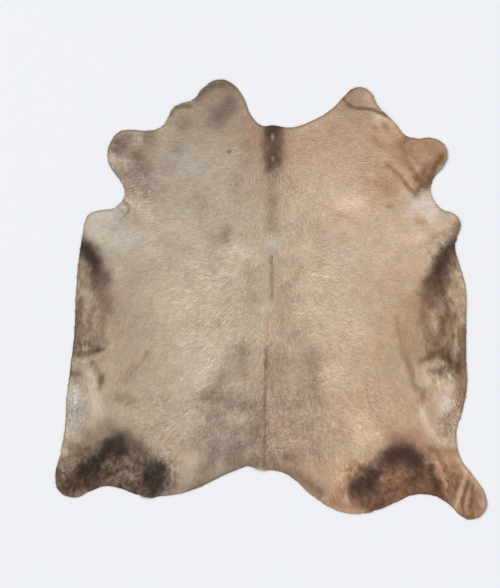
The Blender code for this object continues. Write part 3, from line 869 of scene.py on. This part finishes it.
# The right hock and hind leg.
rightHock = (
    ("halo", ((61, -69), (70, -68), (79, -76)), 5, 2, "#9C765C", 0.82),
    ("frizz", ((61, -74), (66, -71.5), (70, -73)), 3.4, 2, "#7B5A47", 0.55),
    ("left halo", ((41, -90), (46, -85), (52, -79.5)), 3, 2, "#80604A", 0.8),
    ("outer halo", ((81, -75), (82, -82)), 3, 2, "#946D51", 0.75),
    ("warm rim", ((41, -82), (39, -90)), 3.2, 2, "#987252", 0.88),
    ("warm side", ((37.5, -84), (36, -96)), 3.2, 2, "#9F795B", 0.75),
    ("rump, light by the hock", ((47, -79.5),), 3, 2, "#C8A387", 0.75),
    # Painted shade in a crease:
    ("crease", ((79.5, -74.5), (84, -76), (91, -75.5)), 1.5, 2, "#86603F", 0.85),
    ("rump, light", ((35, -80), (34, -89)), 4.6, 2, "#CBA787", 0.8),
    ("hock", ((48, -98), (53, -92), (62, -89), (72, -90), (83, -96)), 8.6, 4, "#6D4D38", 0.97),
    ("rim", ((54, -100), (65, -97), (82, -97)), 6, 4, "#704E39", 0.95),
    ("brow", ((58, -80), (66, -77), (74, -83)), 6, 4, "#6A4939", 0.9),
    ("inside", ((54.5, -88.5), (61, -90.5), (65, -89.5)), 3, 2, "#966C52", 0.75),
    ("left arc", ((43.5, -93), (48.5, -92), (51, -87.5)), 5.3, 3, "#3D281D", 0.95),
    ("upper arc", ((60, -79.5), (64, -76.3), (68, -76.3), (72, -80.5)), 5.3, 3, "#3B261B", 0.95),
    ("right arc", ((79.3, -84), (81.5, -89.5), (84.5, -95)), 3.1, 2, "#452A1A", 0.92),
    ("warm gap", ((77.5, -81.5),), 1.8, 2, "#94694D", 0.6),
    ("lower", ((44, -102), (50, -104.5), (56, -103)), 3.6, 2, "#604029", 0.9),
    ("low shade", ((69, -91), (73, -87.5)), 3, 2, "#593A27", 0.75),
    ("brow shade", ((65.8, -82.6), (68, -83)), 2.0, 2, "#4A3023", 0.6),
    ("arc shade", ((79.3, -88.5),), 1.8, 2, "#48301F", 0.6),
    ("outer edge", ((30, -101), (42, -105)), 3, 2, "#94694B", 0.75),
    ("rump, light edge", ((34, -106), (44, -106.5)), 3, 2, "#C8A083", 0.85),
    ("hind leg", ((90, -84), (98, -96), (101, -104)), 8, 4, "#8F6B52", 0.95),
    ("hind leg, light top", ((94, -79), (96, -83)), 3, 2, "#C2A48B", 0.85),
    ("hind leg, light edge", ((95, -80), (103, -92)), 2.4, 2, "#C6A890", 0.88),
    ("hind leg, light middle", ((89, -80.5),), 2.6, 2, "#BE997B", 0.7),
    ("hind leg, top shade", ((83.5, -80),), 2.4, 2, "#99704F", 0.75),
    ("hind leg, inner edge", ((87, -96.5), (92, -104)), 2.6, 2, "#8A654B", 0.8),
    ("hind leg, brown top", ((86, -76), (90, -77)), 2.4, 2, "#A28064", 0.75),
    # Painted highlights on the crests of the hind leg's folds, and painted shade between them:
    ("hind leg, streak", ((82.5, -80), (85.5, -87), (88, -94)), 1.1, 2, "#BC9273", 0.85),
    ("hind leg, dark between", ((90, -87), (89, -94)), 1.8, 2, "#805D44", 0.8),
    ("hind leg, first fold", ((98, -86), (95, -94), (91.8, -105.5)), 1.3, 2, "#C6A386", 0.8),
    ("hind leg, second fold", ((99, -91), (96.5, -104)), 0.9, 2, "#B48F72", 0.7),
    ("hind leg, dark fold", ((93, -91), (91, -98)), 1.1, 2, "#6B4B36", 0.85),
    ("hind leg, second dark fold", ((98, -92), (95.5, -101), (96, -108)), 1.1, 2, "#6B4C38", 0.85),
    ("hind leg, third dark fold", ((101, -93), (99, -103)), 1.3, 2, "#77553D", 0.8),
    ("hind foot, light", ((106, -98), (104.5, -103)), 2.7, 2, "#AD8D77", 0.75),
    ("hind foot, shade", ((102.3, -103),), 1.5, 2, "#775842", 0.6),
    ("hind foot, pale edge", ((92.8, -105.5),), 1.5, 2, "#BE9E84", 0.5),
    ("hind foot, tip", ((97, -108.5),), 3, 2, "#7A5B43", 0.7),
)
markings = (
    *broadZones,
    *leftFront,
    *rightFront,
    *backMarks,
    *spineMarks,
    *rumpMarks,
    *leftFlank,
    *leftHock,
    *rightFlank,
    *rightHock,
)

markingValues = {
    "ground": "#B8A78F",
    "waver": 1.6 * cm,  # the most that the edge of a marking wanders
    "waverShare": 0.4,  # and the most as a share of its reach
    "waverSize": 4.5 * cm,
    "feather": 2.5 * mm,  # and follows the streaks of the hair
    "streakLength": (4 * mm, 2),  # a step along the hair, and how many to each side
    "streakWidth": 4.5 * mm,
    "lockWander": 0.3 * cm,  # how far a lock's colour may come from up or down the hair
    "farthest": 2.6,  # reaches from its line, where a marking ends altogether
    "paling": np.array((1.0, 1.22, 1.5)),  # power of its brightness, in red, green and blue
    "blotchSize": 1.3 * cm,
    "blotchStretch": np.array((1.0, 1.6)),
    "blotchDrift": 1.6 * cm,
    "blotchDriftSize": 4 * cm,
    "plainBlotches": 0.03,
    "cloudSize": 6 * cm,
    "cloudSpread": 0.09,
    "mottleSize": 2.2 * cm,
    "mottleSpread": 0.07,
    "warmthSize": 5 * cm,
    "warmthSpread": 0.03,
    "darkest": 0.1,  # brightness against the marking's own, in the darkest blotch
    "gain": 1.29,  # brightness of the hair against the colours above
    # Painted shade: how dark each lock is at its root, under the hair lying over it
    "rootPaintedShade": 0.82,
    # Painted shade along the cut edge, where the edge of the hide lies in shadow
    "rimPaintedShade": 0.5,  # at the cut edge, and how far in it goes
    "rimWidth": 13 * mm,
    "lockSpread": 0.1,
    "clumpSpread": 0.06,
    "streakSpread": 0.1,
    # how strong the painted highlight and shade on the waves are
    "paintedWaveLight": 0.4,
    "strandSpread": 0.85,
}


def streaks(places, direction):
    # Faint streaks along the lie of the hair: fine noise, smeared that way.
    length, count = markingValues["streakLength"]
    smeared = [
        latticeNoise(
            places + direction * step * length, markingValues["streakWidth"], seeds["streak"]
        )
        for step in range(-count, count + 1)
    ]
    return sum(smeared) / math.sqrt(len(smeared))


def brightened(colour, times):
    # Brighter hair is paler too, and darker hair richer: partly painted light, as white gloss on
    # bright hair and richer colour in its shade.
    return colour * times[:, None] ** markingValues["paling"]


def spreadOf(places, kind):
    noise = roughNoise(places, markingValues[kind + "Size"], seeds[kind])
    return markingValues[kind + "Spread"] * noise


def paintedColour(places, direction):
    size = markingValues["waverSize"]
    wander = np.stack([roughNoise(places, size, seed) for seed in seeds["marking"]], 1)
    streaky = markingValues["feather"] * streaks(places, direction)
    colour = np.tile(linearColour(markingValues["ground"]), (len(places), 1))
    for _, path, reach, firmness, shade, share in markings:
        waver = min(markingValues["waver"], markingValues["waverShare"] * reach * cm)
        corners = np.array(path) * cm
        far = markingValues["farthest"] * reach * cm + waver
        boxed = (places > corners.min(0) - far) & (places < corners.max(0) + far)
        here = np.flatnonzero(boxed.all(1))
        near = pathDistance(places[here] + wander[here] * waver, path)
        near = np.maximum(near + streaky[here], 0) / (reach * cm)
        cover = share * np.exp(-(near**firmness))
        colour[here] += cover[:, None] * (linearColour(shade) - colour[here])
    moved = drifted(
        places, markingValues["blotchDrift"], markingValues["blotchDriftSize"], seeds["blotchDrift"]
    )
    moved = moved / markingValues["blotchStretch"]
    blotches = roughNoise(moved, markingValues["blotchSize"], seeds["blotch"])
    blotches *= zoneStrength(places, blotchZones, markingValues["plainBlotches"])
    bright = 1 + spreadOf(places, "cloud") + spreadOf(places, "mottle") + blotches
    colour = brightened(colour, np.maximum(bright, markingValues["darkest"]))
    warmth = spreadOf(places, "warmth")
    return colour * np.stack([1 + warmth, np.ones(len(places)), 1 - warmth], 1)

# Materials

# Noise is given in cells for each metre. Shades are the darkest and lightest against the
# material's own colour, and bump is its depth and strength.
grainRange = (0.3, 0.7)  # nearly all of the noise lies between these
hairValues = {
    "grain": (420.0, 2.0, 0.5),  # strands: cells, detail, roughness of the noise
    "shades": (0.9, 1.1),
    "bump": (0.15 * mm, 0.35),
    "strandsAcross": 19.0,  # radians of their wave over one lock
    "gloss": {
        "Roughness": 0.6,
        "Specular IOR Level": 0.25,
        "Sheen Weight": 0.03,
        "Sheen Roughness": 0.5,
    },
}
poreValues = {
    "grain": (600.0, 3.0, 0.5),
    "shades": (0.8, 1.0),
    "bump": (0.4 * mm, 0.6),
    "gloss": {"Roughness": 0.85},
}
suedeValues = {
    "clouds": (7.0, 5.0, 0.6),
    "fibreDetail": (4.0, 0.7),
    "shades": (0.82, 1.08),
    "bump": (0.6 * mm, 0.7),
    "gloss": {"Roughness": 0.95, "Sheen Weight": 0.2},
    "fleshSide": ("#CDBFA9", "#B3A28A", 900.0),  # light, dark, fibres for each metre
    "cutEdge": ("#D8CCB8", "#BBA88D", 1500.0),
}


def addNode(tree, kind, settings=None, inputs=None):
    node = tree.nodes.new(kind)
    for name, value in (settings or {}).items():
        setattr(node, name, value)
    for name, value in (inputs or {}).items():
        if isinstance(value, bpy.types.NodeSocket):
            tree.links.new(value, node.inputs[name])
        else:
            node.inputs[name].default_value = value
    return node


def numberStep(tree, operation, first, second=0.0):
    inputs = {0: first, 1: second}
    return addNode(tree, "ShaderNodeMath", {"operation": operation}, inputs).outputs[0]


def vectorStep(tree, operation, first, second):
    inputs = {0: first, 1: second}
    return addNode(tree, "ShaderNodeVectorMath", {"operation": operation}, inputs).outputs[0]


def scaled(tree, vector, factor):
    inputs = {"Vector": vector, "Scale": factor}
    node = addNode(tree, "ShaderNodeVectorMath", {"operation": "SCALE"}, inputs)
    return node.outputs["Vector"]


def newMaterial(name):
    material = bpy.data.materials.new(name)
    material.use_nodes = True
    return material, material.node_tree, material.node_tree.nodes["Principled BSDF"]


def attributeOf(tree, name, output):
    return addNode(tree, "ShaderNodeAttribute", {"attribute_name": name}).outputs[output]


def noiseOf(tree, cells, detail, roughness):
    place = tree.nodes.new("ShaderNodeTexCoord").outputs["Object"]
    inputs = {"Vector": place, "Scale": cells, "Detail": detail, "Roughness": roughness}
    return addNode(tree, "ShaderNodeTexNoise", inputs=inputs).outputs["Fac"]


def dress(tree, shader, values, colour, grain, height):
    # The grain shades the colour a little, and the height raises the surface.
    darkest, lightest = values["shades"]
    low, high = grainRange
    ends = {"From Min": low, "From Max": high, "To Min": darkest, "To Max": lightest}
    shade = addNode(tree, "ShaderNodeMapRange", inputs={"Value": grain, **ends})
    tinted = scaled(tree, colour, shade.outputs["Result"])
    tree.links.new(tinted, shader.inputs["Base Color"])
    depth, strength = values["bump"]
    inputs = {"Height": height, "Distance": depth, "Strength": strength}
    bump = addNode(tree, "ShaderNodeBump", inputs=inputs)
    tree.links.new(bump.outputs["Normal"], shader.inputs["Normal"])
    for name, value in values["gloss"].items():
        shader.inputs[name].default_value = value


def hairMaterial():
    # Cattle hair: a soft gloss along fine strands, with a light bloom at a low angle.
    material, tree, shader = newMaterial("cattle_hair")
    strands = noiseOf(tree, *hairValues["grain"])
    across = attributeOf(tree, "across", "Fac")
    turns = numberStep(tree, "MULTIPLY", across, hairValues["strandsAcross"])
    height = numberStep(tree, "ADD", numberStep(tree, "SINE", turns), strands)
    dress(tree, shader, hairValues, attributeOf(tree, "hairColour", "Color"), strands, height)
    return material


def skinMaterial():
    # Hair roots on skin: the coat's own colour, painted darker as the shade under the hair, with
    # fine pores.
    material, tree, shader = newMaterial("skin_under_hair")
    pores = noiseOf(tree, *poreValues["grain"])
    dress(tree, shader, poreValues, attributeOf(tree, "hairColour", "Color"), pores, pores)
    return material


def suedeMaterial(name, light, dark, fibreCells):
    # Split leather: matt and fibrous, cloudy from the tanning, with a nap that blooms.
    material, tree, shader = newMaterial(name)
    clouds = noiseOf(tree, *suedeValues["clouds"])
    fibres = noiseOf(tree, fibreCells, *suedeValues["fibreDetail"])
    inputs = {"Factor": clouds, 6: rgba(light), 7: rgba(dark)}
    cloudy = addNode(tree, "ShaderNodeMix", {"data_type": "RGBA"}, inputs).outputs[2]
    dress(tree, shader, suedeValues, cloudy, fibres, fibres)
    return material


# Building the skin


def colourLayer(mesh, colours):
    layer = mesh.color_attributes.new("hairColour", "FLOAT_COLOR", "POINT")
    alpha = np.ones((len(colours), 1))
    layer.data.foreach_set("color", np.concatenate([colours, alpha], 1).astype(np.float32).ravel())


def storeNumbers(mesh, name, values, kind="FLOAT", domain="POINT"):
    field = "vector" if kind == "FLOAT_VECTOR" else "value"
    mesh.attributes.new(name, kind, domain).data.foreach_set(field, np.ravel(values))


def meshOf(name, points, faces):
    mesh = bpy.data.meshes.new(name)
    mesh.from_pydata([tuple(p) for p in points], [], [tuple(f) for f in faces])
    mesh.validate()
    return mesh


def buildSkin():
    count = len(flatPlaces)
    flesh = np.column_stack([flatPlaces, fleshHeight])
    top = np.column_stack([flatPlaces, topHeight])
    rim = np.array(ring)
    following = np.roll(rim, -1)
    wall = [rim, following, following + count, rim + count]
    wall = np.stack(wall if signedArea(edgeLoop) > 0 else wall[::-1], 1)
    a, b, c = (flatPlaces[skinFaces[:, i]] for i in range(3))
    turned = (b[:, 0] - a[:, 0]) * (c[:, 1] - a[:, 1]) - (b[:, 1] - a[:, 1]) * (c[:, 0] - a[:, 0])
    upFaces = np.where(turned[:, None] > 0, skinFaces, skinFaces[:, ::-1])
    faces = [*upFaces + count, *upFaces[:, ::-1], *wall]
    mesh = meshOf("skin", np.concatenate([flesh, top]), faces)
    mesh.materials.append(skinMaterial())
    mesh.materials.append(suedeMaterial("flesh_side_suede", *suedeValues["fleshSide"]))
    mesh.materials.append(suedeMaterial("raw_cut_edge", *suedeValues["cutEdge"]))
    kinds = np.repeat([0, 1, 2], [len(upFaces), len(upFaces), len(wall)])
    mesh.polygons.foreach_set("material_index", kinds)
    colourLayer(mesh, np.tile(paintedColour(flatPlaces, hairDirection(flatPlaces)), (2, 1)))
    mesh.shade_smooth()
    mesh.set_sharp_from_angle(angle=math.radians(skinValues["sharpAngle"]))
    return addObject("skin", mesh), meshOf("skin_top", top, upFaces)


print("stage: skin")
skin, bedMesh = buildSkin()


# The coat

coatSpots = {
    "spacing": 2.95 * mm,
    "densest": 260000.0,  # locks for each square metre, before they are thinned to the spacing
    "lockWidth": 2.9 * mm,
    "lockBend": 0.35,  # sideways at the middle of a bent lock, in lock widths
    "lengthSpread": 0.3,
    "swingSpread": 0.24,  # sideways, as a slope
    "plainRise": 0.04,  # how steeply a lock leaves the skin, as a slope
    "riseSpread": 0.07,
    "clumpSize": 11 * mm,
    "clumpPull": 0.5,
    "rootEnd": 0.5,  # how far along a lock the painted shade at its root goes
}

# The coat is made in six pieces: the side of the spine, and from where to where (cm).
regions = (
    ("coat_left_shoulder", -1, 24, 120),
    ("coat_right_shoulder", 1, 24, 120),
    ("coat_left_flank", -1, -38, 24),
    ("coat_right_flank", 1, -38, 24),
    ("coat_left_rump", -1, -120, -38),
    ("coat_right_rump", 1, -120, -38),
)

# A lock is flat and tapering, one long and one wide, rises from its root and lies down: where
# each of its points is across, along and up, how much it shares in the bend, and its place
# across for the wave of the strands.
lockPoints = (
    (-0.35, 0, 0, 0, 0),
    (0.35, 0, 0, 0, 1),
    (0.5, 0.45, 0.11, 1, 1),
    (-0.5, 0.45, 0.11, 1, 0),
    (0, 1, 0.13, 3, 0.5),
)


def lockMesh(name, bend):
    points = [(x + share * bend, y, z) for x, y, z, share, _ in lockPoints]
    mesh = meshOf(name, points, ((0, 1, 2), (0, 2, 3), (3, 2, 4)))
    storeNumbers(mesh, "along", [point[1] for point in lockPoints])
    storeNumbers(mesh, "across", [point[4] for point in lockPoints])
    mesh.shade_smooth()
    return mesh


def lockCollection():
    collection = bpy.data.collections.new("lock_shapes")
    bend = coatSpots["lockBend"]
    for name, way in (("lock_straight", 0.0), ("lock_to_left", -bend), ("lock_to_right", bend)):
        collection.objects.link(bpy.data.objects.new(name, lockMesh(name, way)))
    return collection


def named(tree, kind, name):
    settings, inputs = {"data_type": kind}, {"Name": name}
    return addNode(tree, "GeometryNodeInputNamedAttribute", settings, inputs).outputs["Attribute"]


def randomNumber(tree, low, high, seed, shift):
    node = addNode(tree, "FunctionNodeRandomValue", {"data_type": "FLOAT"})
    ends = [s for s in node.inputs if s.name in ("Min", "Max") and s.type == "VALUE"]
    for socket, value in zip(ends, (low, high)):
        socket.default_value = value
    tree.links.new(numberStep(tree, "ADD", seed, float(shift)), node.inputs["Seed"])
    return next(s for s in node.outputs if s.type == "VALUE")


def store(tree, geometry, name, value):
    settings = {"data_type": "FLOAT", "domain": "POINT"}
    inputs = {"Geometry": geometry, "Name": name, "Value": value}
    return addNode(tree, "GeometryNodeStoreNamedAttribute", settings, inputs).outputs["Geometry"]


def coatTree():
    tree = bpy.data.node_groups.new("coat_locks", "GeometryNodeTree")
    for name, way, kind in (
        ("Geometry", "INPUT", "Geometry"),
        ("Locks", "INPUT", "Collection"),
        ("Hair", "INPUT", "Material"),
        ("Region", "INPUT", "Int"),
        ("Seed", "INPUT", "Int"),
        ("Spacing", "INPUT", "Float"),
        ("Lock width", "INPUT", "Float"),
        ("Geometry", "OUTPUT", "Geometry"),
    ):
        tree.interface.new_socket(name, in_out=way, socket_type="NodeSocket" + kind)
    given = tree.nodes.new("NodeGroupInput").outputs
    here = tree.nodes.new("GeometryNodeInputPosition").outputs["Position"]
    chosen = addNode(tree, "FunctionNodeCompare", {"data_type": "INT", "operation": "EQUAL"})
    numbers = [s for s in chosen.inputs if s.type == "INT"]
    tree.links.new(named(tree, "INT", "region"), numbers[0])
    tree.links.new(given["Region"], numbers[1])
    inputs = {
        "Mesh": given["Geometry"],
        "Selection": chosen.outputs[0],
        "Distance Min": given["Spacing"],
        "Density Max": coatSpots["densest"],
        "Seed": given["Seed"],
    }
    kind = "GeometryNodeDistributePointsOnFaces"
    spots = addNode(tree, kind, {"distribute_method": "POISSON"}, inputs)
    upright = spots.outputs["Normal"]
    tuft = named(tree, "FLOAT", "tuft")
    length = named(tree, "FLOAT", "hairLength")
    flow = named(tree, "FLOAT_VECTOR", "flow")

    # Each lock follows the lie of the hair, leans to the middle of its clump and swings a little.
    inputs = {"Vector": here, "Scale": 1 / coatSpots["clumpSize"]}
    clumps = addNode(tree, "ShaderNodeTexVoronoi", {"voronoi_dimensions": "2D"}, inputs)
    toClump = vectorStep(tree, "SUBTRACT", clumps.outputs["Position"], here)
    pull = scaled(tree, toClump, coatSpots["clumpPull"] / coatSpots["clumpSize"])
    direction = vectorStep(tree, "ADD", flow, scaled(tree, pull, tuft))
    most = coatSpots["swingSpread"]
    swing = randomNumber(tree, -most, most, given["Seed"], 1)
    sideways = scaled(tree, vectorStep(tree, "CROSS_PRODUCT", upright, flow), swing)
    direction = vectorStep(tree, "ADD", direction, sideways)
    steepest = coatSpots["plainRise"] + coatSpots["riseSpread"]
    rise = randomNumber(tree, coatSpots["plainRise"], steepest, given["Seed"], 2)
    direction = vectorStep(tree, "ADD", direction, scaled(tree, upright, rise))
    settings = {"primary_axis": "Y", "secondary_axis": "Z"}
    inputs = {"Primary Axis": direction, "Secondary Axis": upright}
    turn = addNode(tree, "FunctionNodeAxesToRotation", settings, inputs)
    spread = coatSpots["lengthSpread"]
    times = randomNumber(tree, 1 - spread, 1 + spread, given["Seed"], 3)
    longer = numberStep(tree, "MULTIPLY", length, times)
    inputs = {"X": given["Lock width"], "Y": longer, "Z": longer}
    size = addNode(tree, "ShaderNodeCombineXYZ", inputs=inputs)

    # Its own shade and its clump's stay with it, for its colour.
    lockShade = randomNumber(tree, 0.0, 1.0, given["Seed"], 4)
    marked = store(tree, spots.outputs["Points"], "lockShade", lockShade)
    parts = addNode(tree, "ShaderNodeSeparateXYZ", inputs={0: clumps.outputs["Color"]})
    marked = store(tree, marked, "clumpShade", parts.outputs[0])
    inputs = {"Collection": given["Locks"], "Separate Children": True, "Reset Children": True}
    settings = {"transform_space": "ORIGINAL"}
    shapes = addNode(tree, "GeometryNodeCollectionInfo", settings, inputs)
    inputs = {
        "Points": marked,
        "Instance": shapes.outputs["Instances"],
        "Pick Instance": True,
        "Rotation": turn.outputs["Rotation"],
        "Scale": size.outputs["Vector"],
    }
    placed = addNode(tree, "GeometryNodeInstanceOnPoints", inputs=inputs)
    inputs = {"Geometry": placed.outputs["Instances"]}
    whole = addNode(tree, "GeometryNodeRealizeInstances", inputs=inputs)
    inputs = {"Geometry": whole.outputs["Geometry"], "Material": given["Hair"]}
    dressed = addNode(tree, "GeometryNodeSetMaterial", inputs=inputs)
    out = tree.nodes.new("NodeGroupOutput")
    tree.links.new(dressed.outputs["Geometry"], out.inputs["Geometry"])
    return tree


def setInputs(modifier, values):
    for item in modifier.node_group.interface.items_tree:
        if item.item_type == "SOCKET" and item.in_out == "INPUT" and item.name in values:
            modifier[item.identifier] = values[item.name]


def readNumbers(mesh, name, width=1):
    field = "vector" if width == 3 else "value"
    found = np.empty(len(mesh.vertices) * width, np.float32)
    mesh.attributes[name].data.foreach_get(field, found)
    return found.reshape(-1, width) if width > 1 else found


def fadedFrom(share, values):
    # The share where the values are 0, rising smoothly to the whole where they reach 1.
    return share + (1 - share) * smoothStep(values)


def lockColours(mesh, places, direction, tuft, along):
    values = markingValues
    lockShade = readNumbers(mesh, "lockShade")
    secondShade = lockShade * 7 % 1  # a lock's other chance number, from the same draw
    wander = (secondShade - 0.5) * 2 * values["lockWander"]
    colour = paintedColour(places + direction * wander[:, None], direction)
    clumpShade = readNumbers(mesh, "clumpShade") - 0.5
    lockShade = lockShade - 0.5
    shown = 0.5 + tuft  # a lock stands out most where the hair is in tufts
    bright = 1 + values["lockSpread"] * lockShade * shown
    bright *= 1 + values["clumpSpread"] * clumpShade * tuft
    bright *= 1 + values["streakSpread"] * streaks(places, direction) * shown
    # Painted highlight and shade on the sides of the waves.
    bright *= 1 + values["paintedWaveLight"] * tuft * waveShade(places)
    bright *= 1 + values["strandSpread"] * zoneStrength(places, strandZones, 0) * lockShade
    # Painted shade along the cut edge.
    fromRim = readNumbers(mesh, "fromEdge") / values["rimWidth"]
    bright *= fadedFrom(values["rimPaintedShade"], fromRim)
    # Painted shade toward each lock's root, where the locks over it shade it.
    bright *= fadedFrom(values["rootPaintedShade"], along / coatSpots["rootEnd"])
    return brightened(colour, bright) * values["gain"]


def buildCoat(name, region, bed, tree, locks, hair):
    coat = addObject(name, bed)
    modifier = coat.modifiers.new("locks", "NODES")
    modifier.node_group = tree
    given = {"Locks": locks, "Hair": hair, "Region": region, "Seed": 100 * (region + 1)}
    given.update({"Spacing": coatSpots["spacing"], "Lock width": coatSpots["lockWidth"]})
    setInputs(modifier, given)
    graph = bpy.context.evaluated_depsgraph_get()
    mesh = bpy.data.meshes.new_from_object(coat.evaluated_get(graph))
    mesh.name = name
    coat.modifiers.clear()
    coat.data = mesh
    spots = np.empty(len(mesh.vertices) * 3, np.float32)
    mesh.vertices.foreach_get("co", spots)
    spots = spots.reshape(-1, 3)
    places = spots[:, :2].astype(float)
    direction = readNumbers(mesh, "flow", 3)[:, :2].astype(float)
    tuft = readNumbers(mesh, "tuft")
    along = readNumbers(mesh, "along")
    lift = smoothStep(0.5 + hairWaves(places))
    reached = np.minimum(2 * along, 1)  # the outer half of a lock lifts in full
    spots[:, 2] += coatValues["waveHeight"] * tuft * lift * reached
    mesh.vertices.foreach_set("co", spots.ravel())
    mesh.update()
    colourLayer(mesh, lockColours(mesh, places, direction, tuft, along))
    planes = mesh.uv_layers.new(name="OFBake")
    corners = np.empty(len(mesh.loops), np.int32)
    mesh.loops.foreach_get("vertex_index", corners)
    low, high = places.min(0), places.max(0)
    planes.uv.foreach_set("vector", ((places - low) / (high - low).max())[corners].ravel())
    kept = ("position", "hairColour", "across", "OFBake", "material_index", "sharp_face")
    for helper in [a.name for a in mesh.attributes if a.name not in kept and a.name[0] != "."]:
        mesh.attributes.remove(mesh.attributes[helper])
    print(f"  {name}: {len(mesh.polygons)} faces")
    return coat


print("stage: coat")
direction = hairDirection(flatPlaces)
flow = np.column_stack([direction, np.zeros(len(direction))])
storeNumbers(bedMesh, "flow", flow, "FLOAT_VECTOR")
storeNumbers(bedMesh, "tuft", tufting(flatPlaces))
storeNumbers(bedMesh, "fromEdge", fromEdge)
storeNumbers(bedMesh, "hairLength", lengthOfHair(flatPlaces, fromEdge))
middles = np.empty(len(bedMesh.polygons) * 3, np.float32)
bedMesh.polygons.foreach_get("center", middles)
middles = middles.reshape(-1, 3) / cm
faceRegion = np.zeros(len(middles), np.int32)
for number, (_, side, low, high) in enumerate(regions):
    between = (middles[:, 1] >= low) & (middles[:, 1] < high)
    faceRegion[between & (side * middles[:, 0] >= 0)] = number
storeNumbers(bedMesh, "region", faceRegion, "INT", "FACE")

locks = lockCollection()
hair = hairMaterial()
tree = coatTree()
coats = [
    buildCoat(region[0], number, bedMesh, tree, locks, hair)
    for number, region in enumerate(regions)
]
for shape in list(locks.objects):
    bpy.data.objects.remove(shape)
bpy.data.collections.remove(locks)

print("stage: frame")
for piece in (skin, *coats):
    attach(piece, "root")
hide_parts("hide")


# Floor, light and camera

studioValues = {
    "floorColour": "#E9EBEE",
    "floorRoughness": 0.8,
    "floorReach": 14.0,
    "skyStrength": 0.68,
    "keyStrength": 1.85,
    "keyFrom": (-6.0, 2.6, 5.4),
    "keySpread": 14,  # degrees across, as seen from the hide
    "cameraHeight": 4.2,
    "cameraPlace": (-10.5 * cm, 2.7 * cm),
    "viewHeight": 2.933,  # metres of floor from the top to the bottom of the picture
}


def buildFloor():
    sides = ((-1, -1), (1, -1), (1, 1), (-1, 1))
    reach = studioValues["floorReach"]
    corners = [(x * reach, y * reach, -0.5 * mm) for x, y in sides]
    mesh = meshOf("floor", corners, [(0, 1, 2, 3)])
    material, _, shader = newMaterial("pale_floor")
    shader.inputs["Base Color"].default_value = rgba(studioValues["floorColour"])
    shader.inputs["Roughness"].default_value = studioValues["floorRoughness"]
    mesh.materials.append(material)
    addObject("floor", mesh)


def buildLight():
    scene = bpy.context.scene
    world = bpy.data.worlds.new("soft_light")
    world.use_nodes = True
    sky = world.node_tree.nodes["Background"]
    sky.inputs["Color"].default_value = (1.0, 1.0, 1.0, 1.0)
    sky.inputs["Strength"].default_value = studioValues["skyStrength"]
    scene.world = world
    key = bpy.data.lights.new("key_light", "SUN")
    key.energy = studioValues["keyStrength"]
    key.angle = math.radians(studioValues["keySpread"])
    lamp = addObject("key_light", key)
    lamp.location = studioValues["keyFrom"]
    lamp.rotation_euler = (-lamp.location).to_track_quat("-Z", "Y").to_euler()
    scene.view_settings.view_transform = "Standard"


def buildCamera():
    camera = bpy.data.cameras.new("camera")
    camera.lens = camera.sensor_width * studioValues["cameraHeight"] / studioValues["viewHeight"]
    holder = addObject("camera", camera)
    holder.location = (*studioValues["cameraPlace"], studioValues["cameraHeight"])
    bpy.context.scene.camera = holder


print("stage: floor, light and camera")
buildFloor()
buildLight()
buildCamera()
